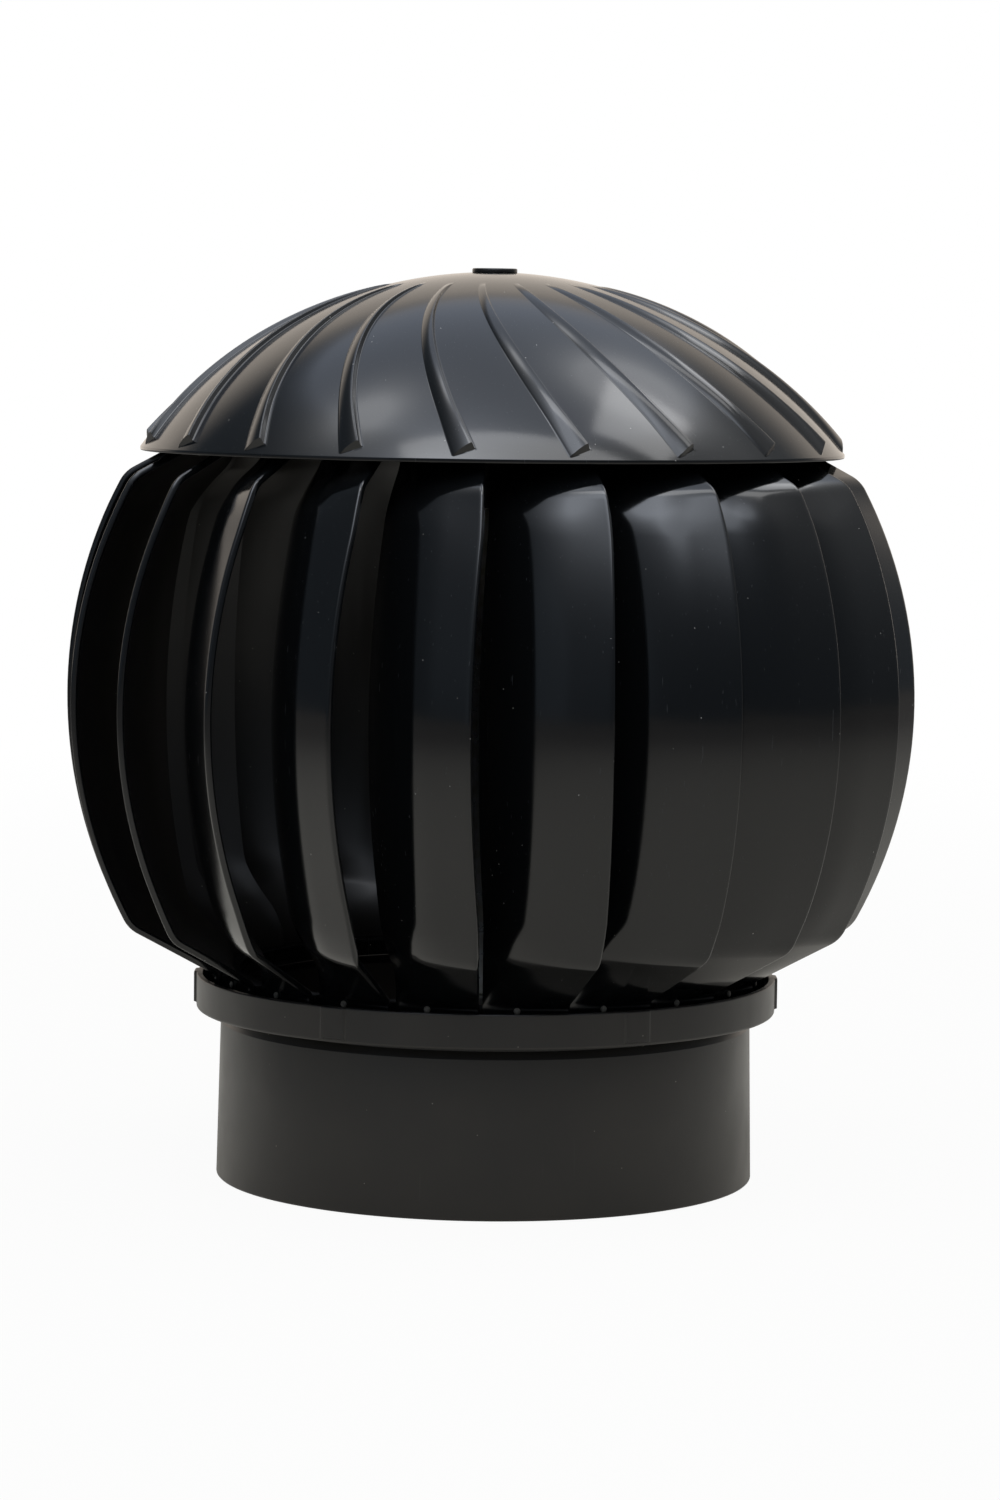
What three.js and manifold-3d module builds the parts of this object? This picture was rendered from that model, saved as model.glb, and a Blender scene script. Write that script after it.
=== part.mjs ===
// A wind-driven roof vent head: a pipe collar with a fixed steel axle and, turning on it, a barrel-shaped
// rotor of curved blades under a ribbed dome. Millimetres, +Z up, with the origin at the centre of the
// collar's bottom edge. Angles are in degrees, counted from the -Y side towards +X.

import * as THREE from 'three';
import { mergeVertices } from 'three/addons/utils/BufferGeometryUtils.js';
import Module from 'manifold-3d';

const wasm = await Module();
wasm.setup();

// Clearances
const seatGap = 0.3; // between pieces that rest on each other or fit into each other
const runGap = 1.3; // round the rotor, inside the base ring
const holeGap = 0.3; // round a peg, a screw or a shaft in its hole
const snapGap = 0.6; // between the collar's flange and the base ring's wall
const bladeGap = 1; // between neighbouring blade feet
const ballGap = 0.3; // between a ball and its races
const spiderPlay = 0.9; // between the spider's screw pads and the collar's wall

// Pipe collar
const collarRadius = 80; // outside, at the bottom edge: a 160 mm pipe size
const collarTaper = 1; // how much narrower the wall's outside is at the top
const collarWall = 2.4; // thickness of the wall at the top
const collarHeight = 53.7;
const collarChamfer = 0.6;
const flangeThickness = 2;
const flangeReach = 4.9; // how far the flange stands out

// Base ring, a shallow cup round the collar's flange, with clip pads
const ringWall = 1.8;
const ringHeight = 10.2;
const ringLip = 1.5;
const ringChamfer = 0.8;
const padCount = 6;
const padWidth = 8;
const padProud = 0.8;
const padAngle = 30; // of the first pad
const hookDepth = 1.2;
const hookHeight = 1.5;

// Blades
const bladeCount = 20;
const bladeThickness = 2;
const bladeSpan = 161; // between the bends of foot and head
const barrelReach = 43.2; // of the free edges at mid-height, out beyond the feet
const barrelArc = 137; // radius of the free edges' long curve
const cornerRadius = 10; // where the long curve turns into the taper
const taperAngle = 28.5; // of the tapers above the foot and below the head, from level
const skirtClearance = 1.7; // from the base ring's rim up to the blades' lower bends
const footDepth = 5.5; // height of the upright foot
const footStep = 3.7; // how far the foot curves in along its length
const innerTaper = 18.2; // height over which the inner edge runs out from the foot
const flangeLean = 20; // of the blade's outer flange, from tangential
const outerFlange = 10;
const bendRadius = 34;
const bendAngle = 58;
const innerFlange = 3;
const freeEdgeAngle = 15.6; // of the first blade's free edge at mid-height
const edgeBow = 1.1; // how much further round the free edge lies at its ends

// Pegs that hold the blades' feet and heads
const pegRadius = 1;
const pegProud = 0.8;
const pegDrop = 1.4; // from the blade's bend to the peg's axis
const pegPlace = 0.6; // along the foot, from the free edge

// Rotor rings and top plate
const ringWeb = 3.7; // least radial thickness of the toothed rings
const plateThickness = 2.5;
const plateRibs = 8;
const plateRibHeight = 5;
const plateRibWidth = 2.4;

// Hub, axle and bearings
const axleRadius = 5;
const axleFlangeRadius = 8;
const axleFlange = 2.7;
const axleChamfer = 0.8;
const hubWall = 4;
const hubLength = 30;
const hubProud = 1; // above the top plate
const bearingBore = 4; // radii of a common 8 by 22 by 7 mm ball bearing
const bearingRadius = 11;
const bearingWidth = 7;
const ballCount = 7;
const raceWall = 1.8;
const raceGroove = 0.6;
const cageGap = 0.6; // between the cage and the races' rims
const cageWidth = 3.4;
const nutFlats = 13;
const nutHeight = 6.5;
const washerRadius = 8;
const washerThickness = 1.6;
const threadEnd = 2; // of thread that stands out of a nut

// Spider, the bracket across the collar
const spiderArms = 4;
const spiderHubRadius = 13;
const spiderHubHeight = 22;
const spiderRise = 3.5; // of the hub above the arms
const armWidth = 3.2;
const armHeight = 11.7;
const armLap = 2; // how far an arm runs out over its screw pad
const padLength = 11.5; // of the arms' screw pads
const padThickness = 3;
const lugWidth = 12;
const lugHeight = 12;
const lugDrop = 17.7; // from the collar's top down to its lugs
const lugDepth = 10.6; // how far the lugs stand out of the collar's wall
const spiderScrewRadius = 1.7;
const spiderScrewHead = 3.4;
const spiderScrewLength = 12;

// Dome
const domeRadius = 128; // of the sphere
const domeWall = 2;
const domeOverhang = 20.8; // of the rim over the blades' heads
const domeDrop = 7.5; // from the blades' upper bends down to the rim
const ribCount = 20;
const ribHeight = 2;
const ribSlope = 5.3; // width of the rib's gentle side, near the rim
const ribStep = 0.9; // width of its steep side
const ribStart = 31; // radius where the ribs begin
const ribBelly = 0.7; // share of the height that the gentle side has reached half-way up
const ribEndWidth = 0.5; // of the steep face at a rib's tip
const ribSetback = 2.2; // of the ribs' tips from the rim
const ribAngle = 11.5; // of the first rib's tip
const ribSweep = 19.6; // degrees from a rib's tip back to its start
const ribCurve = 1.27; // above 1, the ribs bend more towards their tips
const bossCount = 4;
const bossInset = 13.5; // of the bosses' circle from the rotor ring's inside
const bossRadius = 4;
const bossHoleDepth = 13;
const domeScrewRadius = 1.6;
const domeScrewHead = 3.4;
const domeScrewLength = 12;

// Disc in the dome's top
const discRadius = 6.65;
const discMargin = 0.55; // of the dome's flat round the disc
const discChamfer = 0.3;
const discThickness = 1.3;
const discStem = 3.7;
const discBarb = 0.7;
const discStemLength = 4.6;

// Screws
const screwHeadHeight = 2.4;
const screwChamfer = 0.8;

// Facets and cuts
const roundSteps = 48; // of the large rings
const hubSteps = 24;
const smallSteps = 12; // of the axle and bearings
const screwSteps = 8;
const pegSteps = 6;
const cornerSteps = 1;
const barrelSteps = 4;
const bendSteps = 2;
const ribSteps = 5;
const domeInsideSteps = 4;
const cutPast = 1; // how far a cut runs past the face it opens
const weldDistance = 1e-4;

// Heights and radii that follow
const pitch = 360 / bladeCount;
const collarTopRadius = collarRadius - collarTaper;
const collarBore = collarTopRadius - collarWall;
const flangeUnderside = collarHeight - flangeThickness;
const ringBottom = flangeUnderside - seatGap - ringLip;
const ringTop = ringBottom + ringHeight;
const flangeRadius = collarTopRadius + flangeReach;
const ringInner = flangeRadius + snapGap;
const ringRadius = ringInner + ringWall;
const footRadius = ringInner - runGap;
const barrelRadius = footRadius + barrelReach;
const footBend = ringTop + skirtClearance;
const headBend = footBend + bladeSpan;
const middle = (footBend + headBend) / 2;
const toothOuter = footRadius - bladeThickness - seatGap;
const toothInner = toothOuter - footStep;
const rotorRingInner = toothInner - ringWeb;
const plateTop = headBend + footDepth;
const plateBottom = plateTop - plateThickness;
const hubTop = plateTop + hubProud;
const hubBottom = hubTop - hubLength;
const hubBore = bearingRadius + holeGap;
const journalRadius = bearingBore - holeGap; // the axle's two turned-down ends
const ballCircle = (bearingBore + bearingRadius) / 2;
const raceSpace = bearingRadius - bearingBore - 2 * raceWall;
const ballRadius = raceSpace / 2 + raceGroove - ballGap;
const cageWall = raceSpace - 2 * cageGap;
const upperBearing = hubTop - seatGap - bearingWidth;
const lowerBearing = hubBottom + seatGap;
const lugSeat = collarHeight - lugDrop;
const spiderUnderside = lugSeat + seatGap;
const spiderTop = spiderUnderside + armHeight;
const spiderHubTop = spiderTop + spiderRise;
const spiderHubBottom = spiderHubTop - spiderHubHeight;
const screwCircle = collarBore - lugDepth / 2 - holeGap;
const bossCircle = rotorRingInner - bossInset;
const domeRim = footRadius + domeOverhang;
const rimHeight = headBend - domeDrop;
const domeFlat = discRadius + discMargin;
const domeCentre = rimHeight - Math.sqrt(domeRadius ** 2 - domeRim ** 2);
const domeTop = domeCentre + Math.sqrt(domeRadius ** 2 - domeFlat ** 2);

const finishes = {
  glossBlack: { color: 0x141518, roughness: 0.28, metalness: 0 },
  satinBlack: { color: 0x1c1c1c, roughness: 0.45, metalness: 0 },
  zincSteel: { color: 0xb4b6b2, roughness: 0.35, metalness: 1 },
  bearingSteel: { color: 0xc8cacc, roughness: 0.2, metalness: 1 },
};

const ventHead = new THREE.Group();

const rad = THREE.MathUtils.degToRad;

function polar(radius, angle, height) {
  return new THREE.Vector3(radius * Math.sin(rad(angle)), -radius * Math.cos(rad(angle)), height);
}

function place(name, solidShape, finish, turn = 0) {
  const mesh = new THREE.Mesh(geometryOf(solidShape), new THREE.MeshStandardMaterial(finishes[finish]));
  mesh.name = name;
  mesh.rotation.z = rad(turn);
  ventHead.add(mesh);
}

// A closed three.js geometry as a solid that can be joined and cut.
function solid(geometry) {
  const bare = geometry.clone();
  bare.deleteAttribute('normal');
  bare.deleteAttribute('uv');
  const merged = mergeVertices(bare, weldDistance);
  const corners = merged.index.array;
  const triangles = [];
  for (let i = 0; i < corners.length; i += 3) {
    const [a, b, c] = corners.slice(i, i + 3);
    if (a !== b && b !== c && c !== a) triangles.push(a, b, c);
  }
  return new wasm.Manifold(new wasm.Mesh({
    numProp: 3,
    vertProperties: new Float32Array(merged.attributes.position.array),
    triVerts: new Uint32Array(triangles),
  }));
}

function geometryOf(solidShape) {
  const mesh = solidShape.getMesh();
  const geometry = new THREE.BufferGeometry();
  geometry.setAttribute('position', new THREE.BufferAttribute(mesh.vertProperties, 3));
  geometry.setIndex(new THREE.BufferAttribute(mesh.triVerts, 1));
  geometry.computeVertexNormals();
  return geometry;
}

// A section of [radius, height] points, anticlockwise, turned round the Z axis.
function turned(section, steps) {
  const points = section.map(([radius, height]) => new THREE.Vector2(radius, height));
  const onAxis = section[0][0] === 0;
  if (!onAxis) points.push(points[0].clone());
  return solid(new THREE.LatheGeometry(points, steps).rotateX(Math.PI / 2));
}

function tube(inner, outer, bottom, top, steps) {
  return turned([[inner, bottom], [outer, bottom], [outer, top], [inner, top]], steps);
}

function rod(radius, bottom, top, steps) {
  return turned([[0, bottom], [radius, bottom], [radius, top], [0, top]], steps);
}

// An upright rod at a place on a circle.
function rodAt(circle, angle, radius, bottom, top, steps) {
  const spot = polar(circle, angle, 0);
  return rod(radius, bottom, top, steps).translate([spot.x, spot.y, 0]);
}

// A block that reaches outwards from one radius to another.
function radialBlock(inner, outer, width, bottom, top, angle) {
  const box = new THREE.BoxGeometry(width, outer - inner, top - bottom);
  box.translate(0, -(inner + outer) / 2, (bottom + top) / 2).rotateZ(rad(angle));
  return solid(box);
}

// A round peg that points outwards.
function radialPeg(inner, outer, radius, height, angle) {
  const peg = new THREE.CylinderGeometry(radius, radius, outer - inner, pegSteps);
  return solid(peg.translate(0, -(inner + outer) / 2, height).rotateZ(rad(angle)));
}

function repeat(count, makeOne) {
  return Array.from({ length: count }, (_, i) => makeOne(i));
}

// Collar: tube, top flange and the lugs that carry the spider.
function makeCollar() {
  const wall = turned([
    [collarBore, 0],
    [collarRadius - collarChamfer, 0],
    [collarRadius, collarChamfer],
    [collarTopRadius, flangeUnderside],
    [flangeRadius, flangeUnderside],
    [flangeRadius, collarHeight],
    [collarBore, collarHeight],
  ], roundSteps);
  const wallMiddle = (collarBore + collarTopRadius) / 2;
  const lugs = repeat(spiderArms, (i) => radialBlock(
    collarBore - lugDepth, wallMiddle, lugWidth, lugSeat - lugHeight, lugSeat, armAngle(i)));
  const holes = repeat(spiderArms, (i) => rodAt(
    screwCircle, armAngle(i), spiderScrewRadius + holeGap, 0, collarHeight, screwSteps));
  return wall.add(wasm.Manifold.union(lugs)).subtract(wasm.Manifold.union(holes));
}

function armAngle(i) {
  return i * 360 / spiderArms;
}

// Base ring: a wall, a lip under the collar's flange, and a hook inside each pad that snaps over the flange.
function makeBaseRing() {
  const lipRadius = collarRadius + seatGap;
  const wall = turned([
    [lipRadius, ringBottom],
    [ringRadius - ringChamfer, ringBottom],
    [ringRadius, ringBottom + ringChamfer],
    [ringRadius, ringTop],
    [ringInner, ringTop],
    [ringInner, ringBottom + ringLip],
    [lipRadius, ringBottom + ringLip],
  ], roundSteps);
  const hookBottom = collarHeight + seatGap;
  const wallMiddle = ringInner + ringWall / 2;
  const clips = repeat(padCount, (i) => {
    const angle = padAngle + i * 360 / padCount;
    const pad = radialBlock(wallMiddle, ringRadius + padProud, padWidth, ringBottom + ringChamfer, ringTop,
      angle);
    const hook = radialBlock(ringInner - hookDepth, wallMiddle, padWidth, hookBottom,
      hookBottom + hookHeight, angle);
    return pad.add(hook);
  });
  return wall.add(wasm.Manifold.union(clips));
}

// The free edge's outline, [radius, height], from the foot's end up to the head's end.
function freeEdgeOutline() {
  const footPoint = new THREE.Vector2(footRadius, footBend);
  const along = new THREE.Vector2(Math.cos(rad(taperAngle)), Math.sin(rad(taperAngle)));
  const inward = new THREE.Vector2(-along.y, along.x);
  const barrelCentre = new THREE.Vector2(barrelRadius - barrelArc, middle);
  const toCorner = footPoint.clone().addScaledVector(inward, cornerRadius).sub(barrelCentre);
  const reach = toCorner.dot(along);
  const taperLength = -reach + Math.sqrt(
    reach ** 2 - toCorner.lengthSq() + (barrelArc - cornerRadius) ** 2);
  const cornerStart = footPoint.clone().addScaledVector(along, taperLength);
  const cornerCentre = cornerStart.addScaledVector(inward, cornerRadius);
  const onArc = (centre, radius, turn) => new THREE.Vector2(
    centre.x + radius * Math.cos(turn), centre.y + radius * Math.sin(turn));
  const taperTurn = rad(taperAngle - 90);
  const barrelTurn = Math.atan2(cornerCentre.y - barrelCentre.y, cornerCentre.x - barrelCentre.x);
  const lower = [new THREE.Vector2(footRadius, footBend - footDepth), footPoint];
  for (let i = 0; i <= cornerSteps; i += 1) {
    const turn = taperTurn + (barrelTurn - taperTurn) * i / cornerSteps;
    lower.push(onArc(cornerCentre, cornerRadius, turn));
  }
  const barrel = [];
  for (let i = 1; i < barrelSteps; i += 1) {
    const turn = barrelTurn * (1 - 2 * i / barrelSteps);
    barrel.push(onArc(barrelCentre, barrelArc, turn));
  }
  const upper = lower.map((point) => new THREE.Vector2(point.x, 2 * middle - point.y)).reverse();
  return [...lower, ...barrel, ...upper];
}

// The blade's section at mid-height, from the free edge inwards: how far round it has gone (degrees) and how
// far in it has come. An outer flange that is nearly tangential, a bend, and an inner flange nearly radial.
function bladeSection() {
  const lean = rad(90 - flangeLean);
  const path = [new THREE.Vector2(0, 0)];
  const step = (length, heading) => {
    const last = path[path.length - 1];
    path.push(new THREE.Vector2(last.x + length * Math.sin(heading), last.y + length * Math.cos(heading)));
  };
  step(outerFlange, lean);
  for (let i = 0; i < bendSteps; i += 1) {
    step(bendRadius * rad(bendAngle) / bendSteps, lean - rad(bendAngle) * (i + 0.5) / bendSteps);
  }
  step(innerFlange, lean - rad(bendAngle));
  return path.map((point) => ({
    round: THREE.MathUtils.radToDeg(Math.atan2(point.x, barrelRadius - point.y)),
    drop: barrelRadius - Math.hypot(point.x, barrelRadius - point.y),
  }));
}

// One point of the blade's outer face. The section is bent at mid-height, straight along the foot and head.
function bladePoint(section, index, edge) {
  const last = section[section.length - 1];
  const round = section[index].round / last.round;
  const drop = section[index].drop / last.drop;
  const fromBend = Math.max(0, Math.min(edge.y - footBend, headBend - edge.y));
  const bent = Math.min(1, fromBend / innerTaper);
  const innerRadius = THREE.MathUtils.lerp(footRadius - footStep, barrelRadius - last.drop, bent);
  const footRound = pitch - THREE.MathUtils.radToDeg(bladeGap / footRadius);
  const span = THREE.MathUtils.lerp(footRound, last.round, bent);
  const ends = (edge.y - middle) / (middle - footBend - innerTaper);
  const edgeAngle = freeEdgeAngle + edgeBow * Math.min(1, ends ** 2);
  const radius = edge.x - (edge.x - innerRadius) * THREE.MathUtils.lerp(round, drop, bent);
  return polar(radius, edgeAngle - span * round, edge.y);
}

// A closed plate from a grid of points on its outer face, with the given thickness behind them.
function plate(face, thickness) {
  const rows = face.length;
  const columns = face[0].length;
  const cellNormal = (k, j) => {
    const rising = face[k + 1][j + 1].clone().sub(face[k][j]);
    const falling = face[k + 1][j].clone().sub(face[k][j + 1]);
    return rising.cross(falling).normalize();
  };
  const back = face.map((row, k) => row.map((point, j) => {
    const cells = [[k - 1, j - 1], [k, j - 1], [k - 1, j], [k, j]]
      .filter(([a, b]) => a >= 0 && b >= 0 && a < rows - 1 && b < columns - 1)
      .map(([a, b]) => cellNormal(a, b));
    const mean = cells.reduce((sum, normal) => sum.add(normal), new THREE.Vector3()).normalize();
    const mitre = cells.reduce((sum, normal) => sum + normal.dot(mean), 0) / cells.length;
    return point.clone().addScaledVector(mean, -thickness / mitre);
  }));
  const positions = [];
  const quad = (a, b, c, d) => [a, b, c, a, c, d].forEach((point) => positions.push(...point.toArray()));
  for (let k = 0; k < rows - 1; k += 1) {
    for (let j = 0; j < columns - 1; j += 1) {
      quad(face[k][j], face[k][j + 1], face[k + 1][j + 1], face[k + 1][j]);
      quad(back[k + 1][j], back[k + 1][j + 1], back[k][j + 1], back[k][j]);
    }
    const top = columns - 1;
    quad(face[k][top], back[k][top], back[k + 1][top], face[k + 1][top]);
    quad(face[k + 1][0], back[k + 1][0], back[k][0], face[k][0]);
  }
  for (let j = 0; j < columns - 1; j += 1) {
    const end = rows - 1;
    quad(face[0][j], back[0][j], back[0][j + 1], face[0][j + 1]);
    quad(face[end][j + 1], back[end][j + 1], back[end][j], face[end][j]);
  }
  const geometry = new THREE.BufferGeometry();
  geometry.setAttribute('position', new THREE.Float32BufferAttribute(positions, 3));
  return solid(geometry);
}

function pegAngle() {
  const footRound = pitch - THREE.MathUtils.radToDeg(bladeGap / footRadius);
  return freeEdgeAngle + edgeBow - footRound * pegPlace;
}

function makeBlade() {
  const section = bladeSection();
  const outline = freeEdgeOutline();
  const face = section.map((_, index) => outline.map((edge) => bladePoint(section, index, edge)));
  const holes = [footBend - pegDrop, headBend + pegDrop].map((height) => radialPeg(
    toothInner - ringWeb, footRadius + pegProud, pegRadius + holeGap, height, pegAngle()));
  return plate(face, bladeThickness).subtract(wasm.Manifold.union(holes));
}

// A ring with one sloping tooth behind each blade foot, and a peg on each tooth.
function toothedRing(bottom, top, pegHeight) {
  const outline = new THREE.Shape();
  const slopeStart = freeEdgeAngle + edgeBow;
  const halfGap = THREE.MathUtils.radToDeg(bladeGap / footRadius) / 2;
  repeat(bladeCount, (i) => {
    const low = polar(toothInner, slopeStart + (i - 1) * pitch + halfGap, 0);
    const high = polar(toothOuter, slopeStart + i * pitch, 0);
    const halfway = polar((toothInner + toothOuter) / 2, slopeStart + (i - 0.5) * pitch, 0);
    if (i === 0) outline.moveTo(low.x, low.y);
    else outline.lineTo(low.x, low.y);
    outline.lineTo(halfway.x, halfway.y);
    outline.lineTo(high.x, high.y);
  });
  outline.closePath();
  const body = solid(new THREE.ExtrudeGeometry(outline, { depth: top - bottom, bevelEnabled: false }))
    .translate([0, 0, bottom]);
  const toothFace = toothOuter - footStep * pegPlace;
  const pegEnd = toothFace + seatGap + bladeThickness + pegProud;
  const pegs = repeat(bladeCount, (i) => radialPeg(
    toothInner - ringWeb / 2, pegEnd, pegRadius, pegHeight, pegAngle() + i * pitch));
  return body.add(wasm.Manifold.union(pegs));
}

function makeLowerRing() {
  const bottom = footBend - footDepth;
  const bore = rod(rotorRingInner, bottom - cutPast, footBend + cutPast, roundSteps);
  return toothedRing(bottom, footBend, footBend - pegDrop).subtract(bore);
}

function screwAngle(i) {
  return (i + 0.5) * 360 / bossCount;
}

// Top plate: toothed rim, flat web with ribs under it, and the bearing hub.
function makeTopPlate() {
  const rim = toothedRing(headBend, plateTop, headBend + pegDrop)
    .subtract(rod(rotorRingInner, headBend - cutPast, plateBottom, roundSteps));
  const ribs = repeat(plateRibs, (i) => radialBlock(hubBore + hubWall / 2, rotorRingInner + ringWeb / 2,
    plateRibWidth, plateBottom - plateRibHeight, plateBottom + plateThickness / 2,
    screwAngle(0) + (i + 0.5) * 360 / plateRibs));
  const hub = rod(hubBore + hubWall, hubBottom, hubTop, hubSteps);
  const shoulderRadius = bearingRadius - raceWall + seatGap;
  const bore = turned([
    [0, hubBottom - cutPast],
    [hubBore, hubBottom - cutPast],
    [hubBore, lowerBearing + bearingWidth + seatGap],
    [shoulderRadius, lowerBearing + bearingWidth + seatGap],
    [shoulderRadius, upperBearing - seatGap],
    [hubBore, upperBearing - seatGap],
    [hubBore, hubTop + cutPast],
    [0, hubTop + cutPast],
  ], smallSteps);
  const screwHoles = repeat(bossCount, (i) => rodAt(bossCircle, screwAngle(i), domeScrewRadius + holeGap,
    plateBottom - cutPast, plateTop + cutPast, screwSteps));
  return rim.add(wasm.Manifold.union([...ribs, hub])).subtract(wasm.Manifold.union([bore, ...screwHoles]));
}

// Outer face of the dome: rings of points that follow the ribs' swirl, lifted along each rib.
function makeDome() {
  const ribEnd = domeRim - ribSetback;
  const rings = [domeFlat];
  for (let i = 0; i <= ribSteps; i += 1) rings.push(THREE.MathUtils.lerp(ribStart, ribEnd, i / ribSteps));
  rings.push(ribEnd + ribEndWidth, domeRim);
  const slopeTurn = THREE.MathUtils.radToDeg(ribSlope / ribEnd);
  const crestTurn = slopeTurn + THREE.MathUtils.radToDeg(ribStep / ribEnd);
  const ribPitch = 360 / ribCount;
  const columns = [
    { turn: 0, lift: 0 },
    { turn: slopeTurn / 2, lift: ribBelly },
    { turn: slopeTurn, lift: 1 },
    { turn: crestTurn, lift: 0 },
    { turn: (crestTurn + ribPitch) / 2, lift: 0 },
  ];
  const along = (radius) => THREE.MathUtils.clamp((radius - ribStart) / (ribEnd - ribStart), 0, 1);
  const lift = (radius) => (radius > ribEnd ? 0 : ribHeight * Math.sqrt(along(radius)));
  const grid = rings.map((radius) => repeat(ribCount * columns.length, (n) => {
    const column = columns[n % columns.length];
    const tipAngle = ribAngle + Math.floor(n / columns.length) * ribPitch;
    const angle = tipAngle + column.turn - ribSweep * (1 - along(radius) ** ribCurve);
    const sphere = 1 + column.lift * lift(radius) / domeRadius;
    const height = domeCentre + Math.sqrt(domeRadius ** 2 - radius ** 2) * sphere;
    return polar(radius * sphere, angle, radius === domeRim ? rimHeight : height);
  }));
  const positions = [];
  const face = (...points) => points.forEach((point) => positions.push(...point.toArray()));
  const count = grid[0].length;
  const topCentre = new THREE.Vector3(0, 0, domeTop);
  const rimCentre = new THREE.Vector3(0, 0, rimHeight);
  repeat(count, (n) => {
    const next = (n + 1) % count;
    face(topCentre, grid[0][n], grid[0][next]);
    for (let k = 0; k < rings.length - 1; k += 1) {
      face(grid[k][n], grid[k + 1][n], grid[k + 1][next]);
      face(grid[k][n], grid[k + 1][next], grid[k][next]);
    }
    face(rimCentre, grid[rings.length - 1][next], grid[rings.length - 1][n]);
  });
  const geometry = new THREE.BufferGeometry();
  geometry.setAttribute('position', new THREE.Float32BufferAttribute(positions, 3));
  return solid(geometry);
}

// Points on a quarter of the dome's inside, from the rim up to the axis.
function domeInside() {
  const radius = domeRadius - domeWall;
  const rimTurn = Math.asin((rimHeight - cutPast - domeCentre) / radius);
  return repeat(domeInsideSteps, (i) => {
    const turn = THREE.MathUtils.lerp(rimTurn, Math.PI / 2, i / domeInsideSteps);
    return [radius * Math.cos(turn), domeCentre + radius * Math.sin(turn)];
  });
}

// Cap: the dome, hollowed, with screw bosses that stand on the top plate and a hole for the disc's stem.
function makeCap() {
  const inside = domeInside();
  const hollow = turned([[0, inside[0][1]], ...inside, [0, domeCentre + domeRadius - domeWall]], roundSteps);
  const bossBottom = plateTop + seatGap;
  const bossTop = domeCentre + Math.sqrt((domeRadius - domeWall / 2) ** 2 - (bossCircle + bossRadius) ** 2);
  const bosses = repeat(bossCount, (i) => rodAt(bossCircle, screwAngle(i), bossRadius, bossBottom, bossTop,
    screwSteps));
  const pilots = repeat(bossCount, (i) => rodAt(bossCircle, screwAngle(i), domeScrewRadius + holeGap,
    bossBottom - cutPast, bossBottom + bossHoleDepth, screwSteps));
  const stemHole = rod(discStem + holeGap, domeTop - domeWall - cutPast, domeTop + cutPast, smallSteps);
  return makeDome().subtract(hollow).add(wasm.Manifold.union(bosses))
    .subtract(wasm.Manifold.union([...pilots, stemHole]));
}

// Disc: a plain button that snaps into the dome's top.
function makeDisc() {
  const underWall = domeTop - domeWall - seatGap;
  const stemEnd = domeTop - discStemLength;
  return turned([
    [0, stemEnd],
    [discStem - discBarb, stemEnd],
    [discStem + discBarb, underWall - discBarb],
    [discStem, underWall],
    [discStem, domeTop],
    [discRadius, domeTop],
    [discRadius, domeTop + discThickness - discChamfer],
    [discRadius - discChamfer, domeTop + discThickness],
    [0, domeTop + discThickness],
  ], smallSteps);
}

function makeSpider() {
  const hub = rod(spiderHubRadius, spiderHubBottom, spiderHubTop, hubSteps);
  const padOuter = collarBore - spiderPlay;
  const arms = repeat(spiderArms, (i) => {
    const arm = radialBlock(axleRadius, padOuter - padLength + armLap, armWidth, spiderUnderside, spiderTop,
      armAngle(i));
    return arm.add(radialBlock(padOuter - padLength, padOuter, lugWidth, spiderUnderside,
      spiderUnderside + padThickness, armAngle(i)));
  });
  const bore = rod(axleRadius + holeGap, spiderHubBottom - cutPast, spiderHubTop + cutPast, smallSteps);
  const screwHoles = repeat(spiderArms, (i) => rodAt(screwCircle, armAngle(i), spiderScrewRadius + holeGap,
    spiderUnderside - cutPast, spiderTop + cutPast, screwSteps));
  return hub.add(wasm.Manifold.union(arms)).subtract(wasm.Manifold.union([bore, ...screwHoles]));
}

// Axle: clamped in the spider by its flange and lower nut, stepped down for the bearings.
function axleHeights() {
  const washerTop = spiderHubBottom - seatGap;
  const lowerNutTop = washerTop - washerThickness - seatGap;
  return {
    bottom: lowerNutTop - nutHeight - threadEnd,
    lowerStep: spiderHubBottom + threadEnd,
    washerTop,
    lowerNutTop,
    flange: spiderHubTop + seatGap,
    shoulder: lowerBearing - seatGap,
    topNut: upperBearing + bearingWidth + seatGap,
    top: upperBearing + bearingWidth + seatGap + nutHeight + threadEnd,
  };
}

function makeAxle() {
  const at = axleHeights();
  return turned([
    [0, at.bottom],
    [journalRadius - axleChamfer, at.bottom],
    [journalRadius, at.bottom + axleChamfer],
    [journalRadius, at.lowerStep],
    [axleRadius, at.lowerStep],
    [axleRadius, at.flange],
    [axleFlangeRadius, at.flange],
    [axleFlangeRadius, at.flange + axleFlange],
    [axleRadius, at.flange + axleFlange],
    [axleRadius, at.shoulder],
    [journalRadius, at.shoulder],
    [journalRadius, at.top - axleChamfer],
    [journalRadius - axleChamfer, at.top],
    [0, at.top],
  ], smallSteps);
}

function makeNut(bottom) {
  const hexagon = rod(nutFlats / Math.sqrt(3), bottom, bottom + nutHeight, 6);
  return hexagon.subtract(rod(bearingBore, bottom - cutPast, bottom + nutHeight + cutPast, smallSteps));
}

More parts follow.
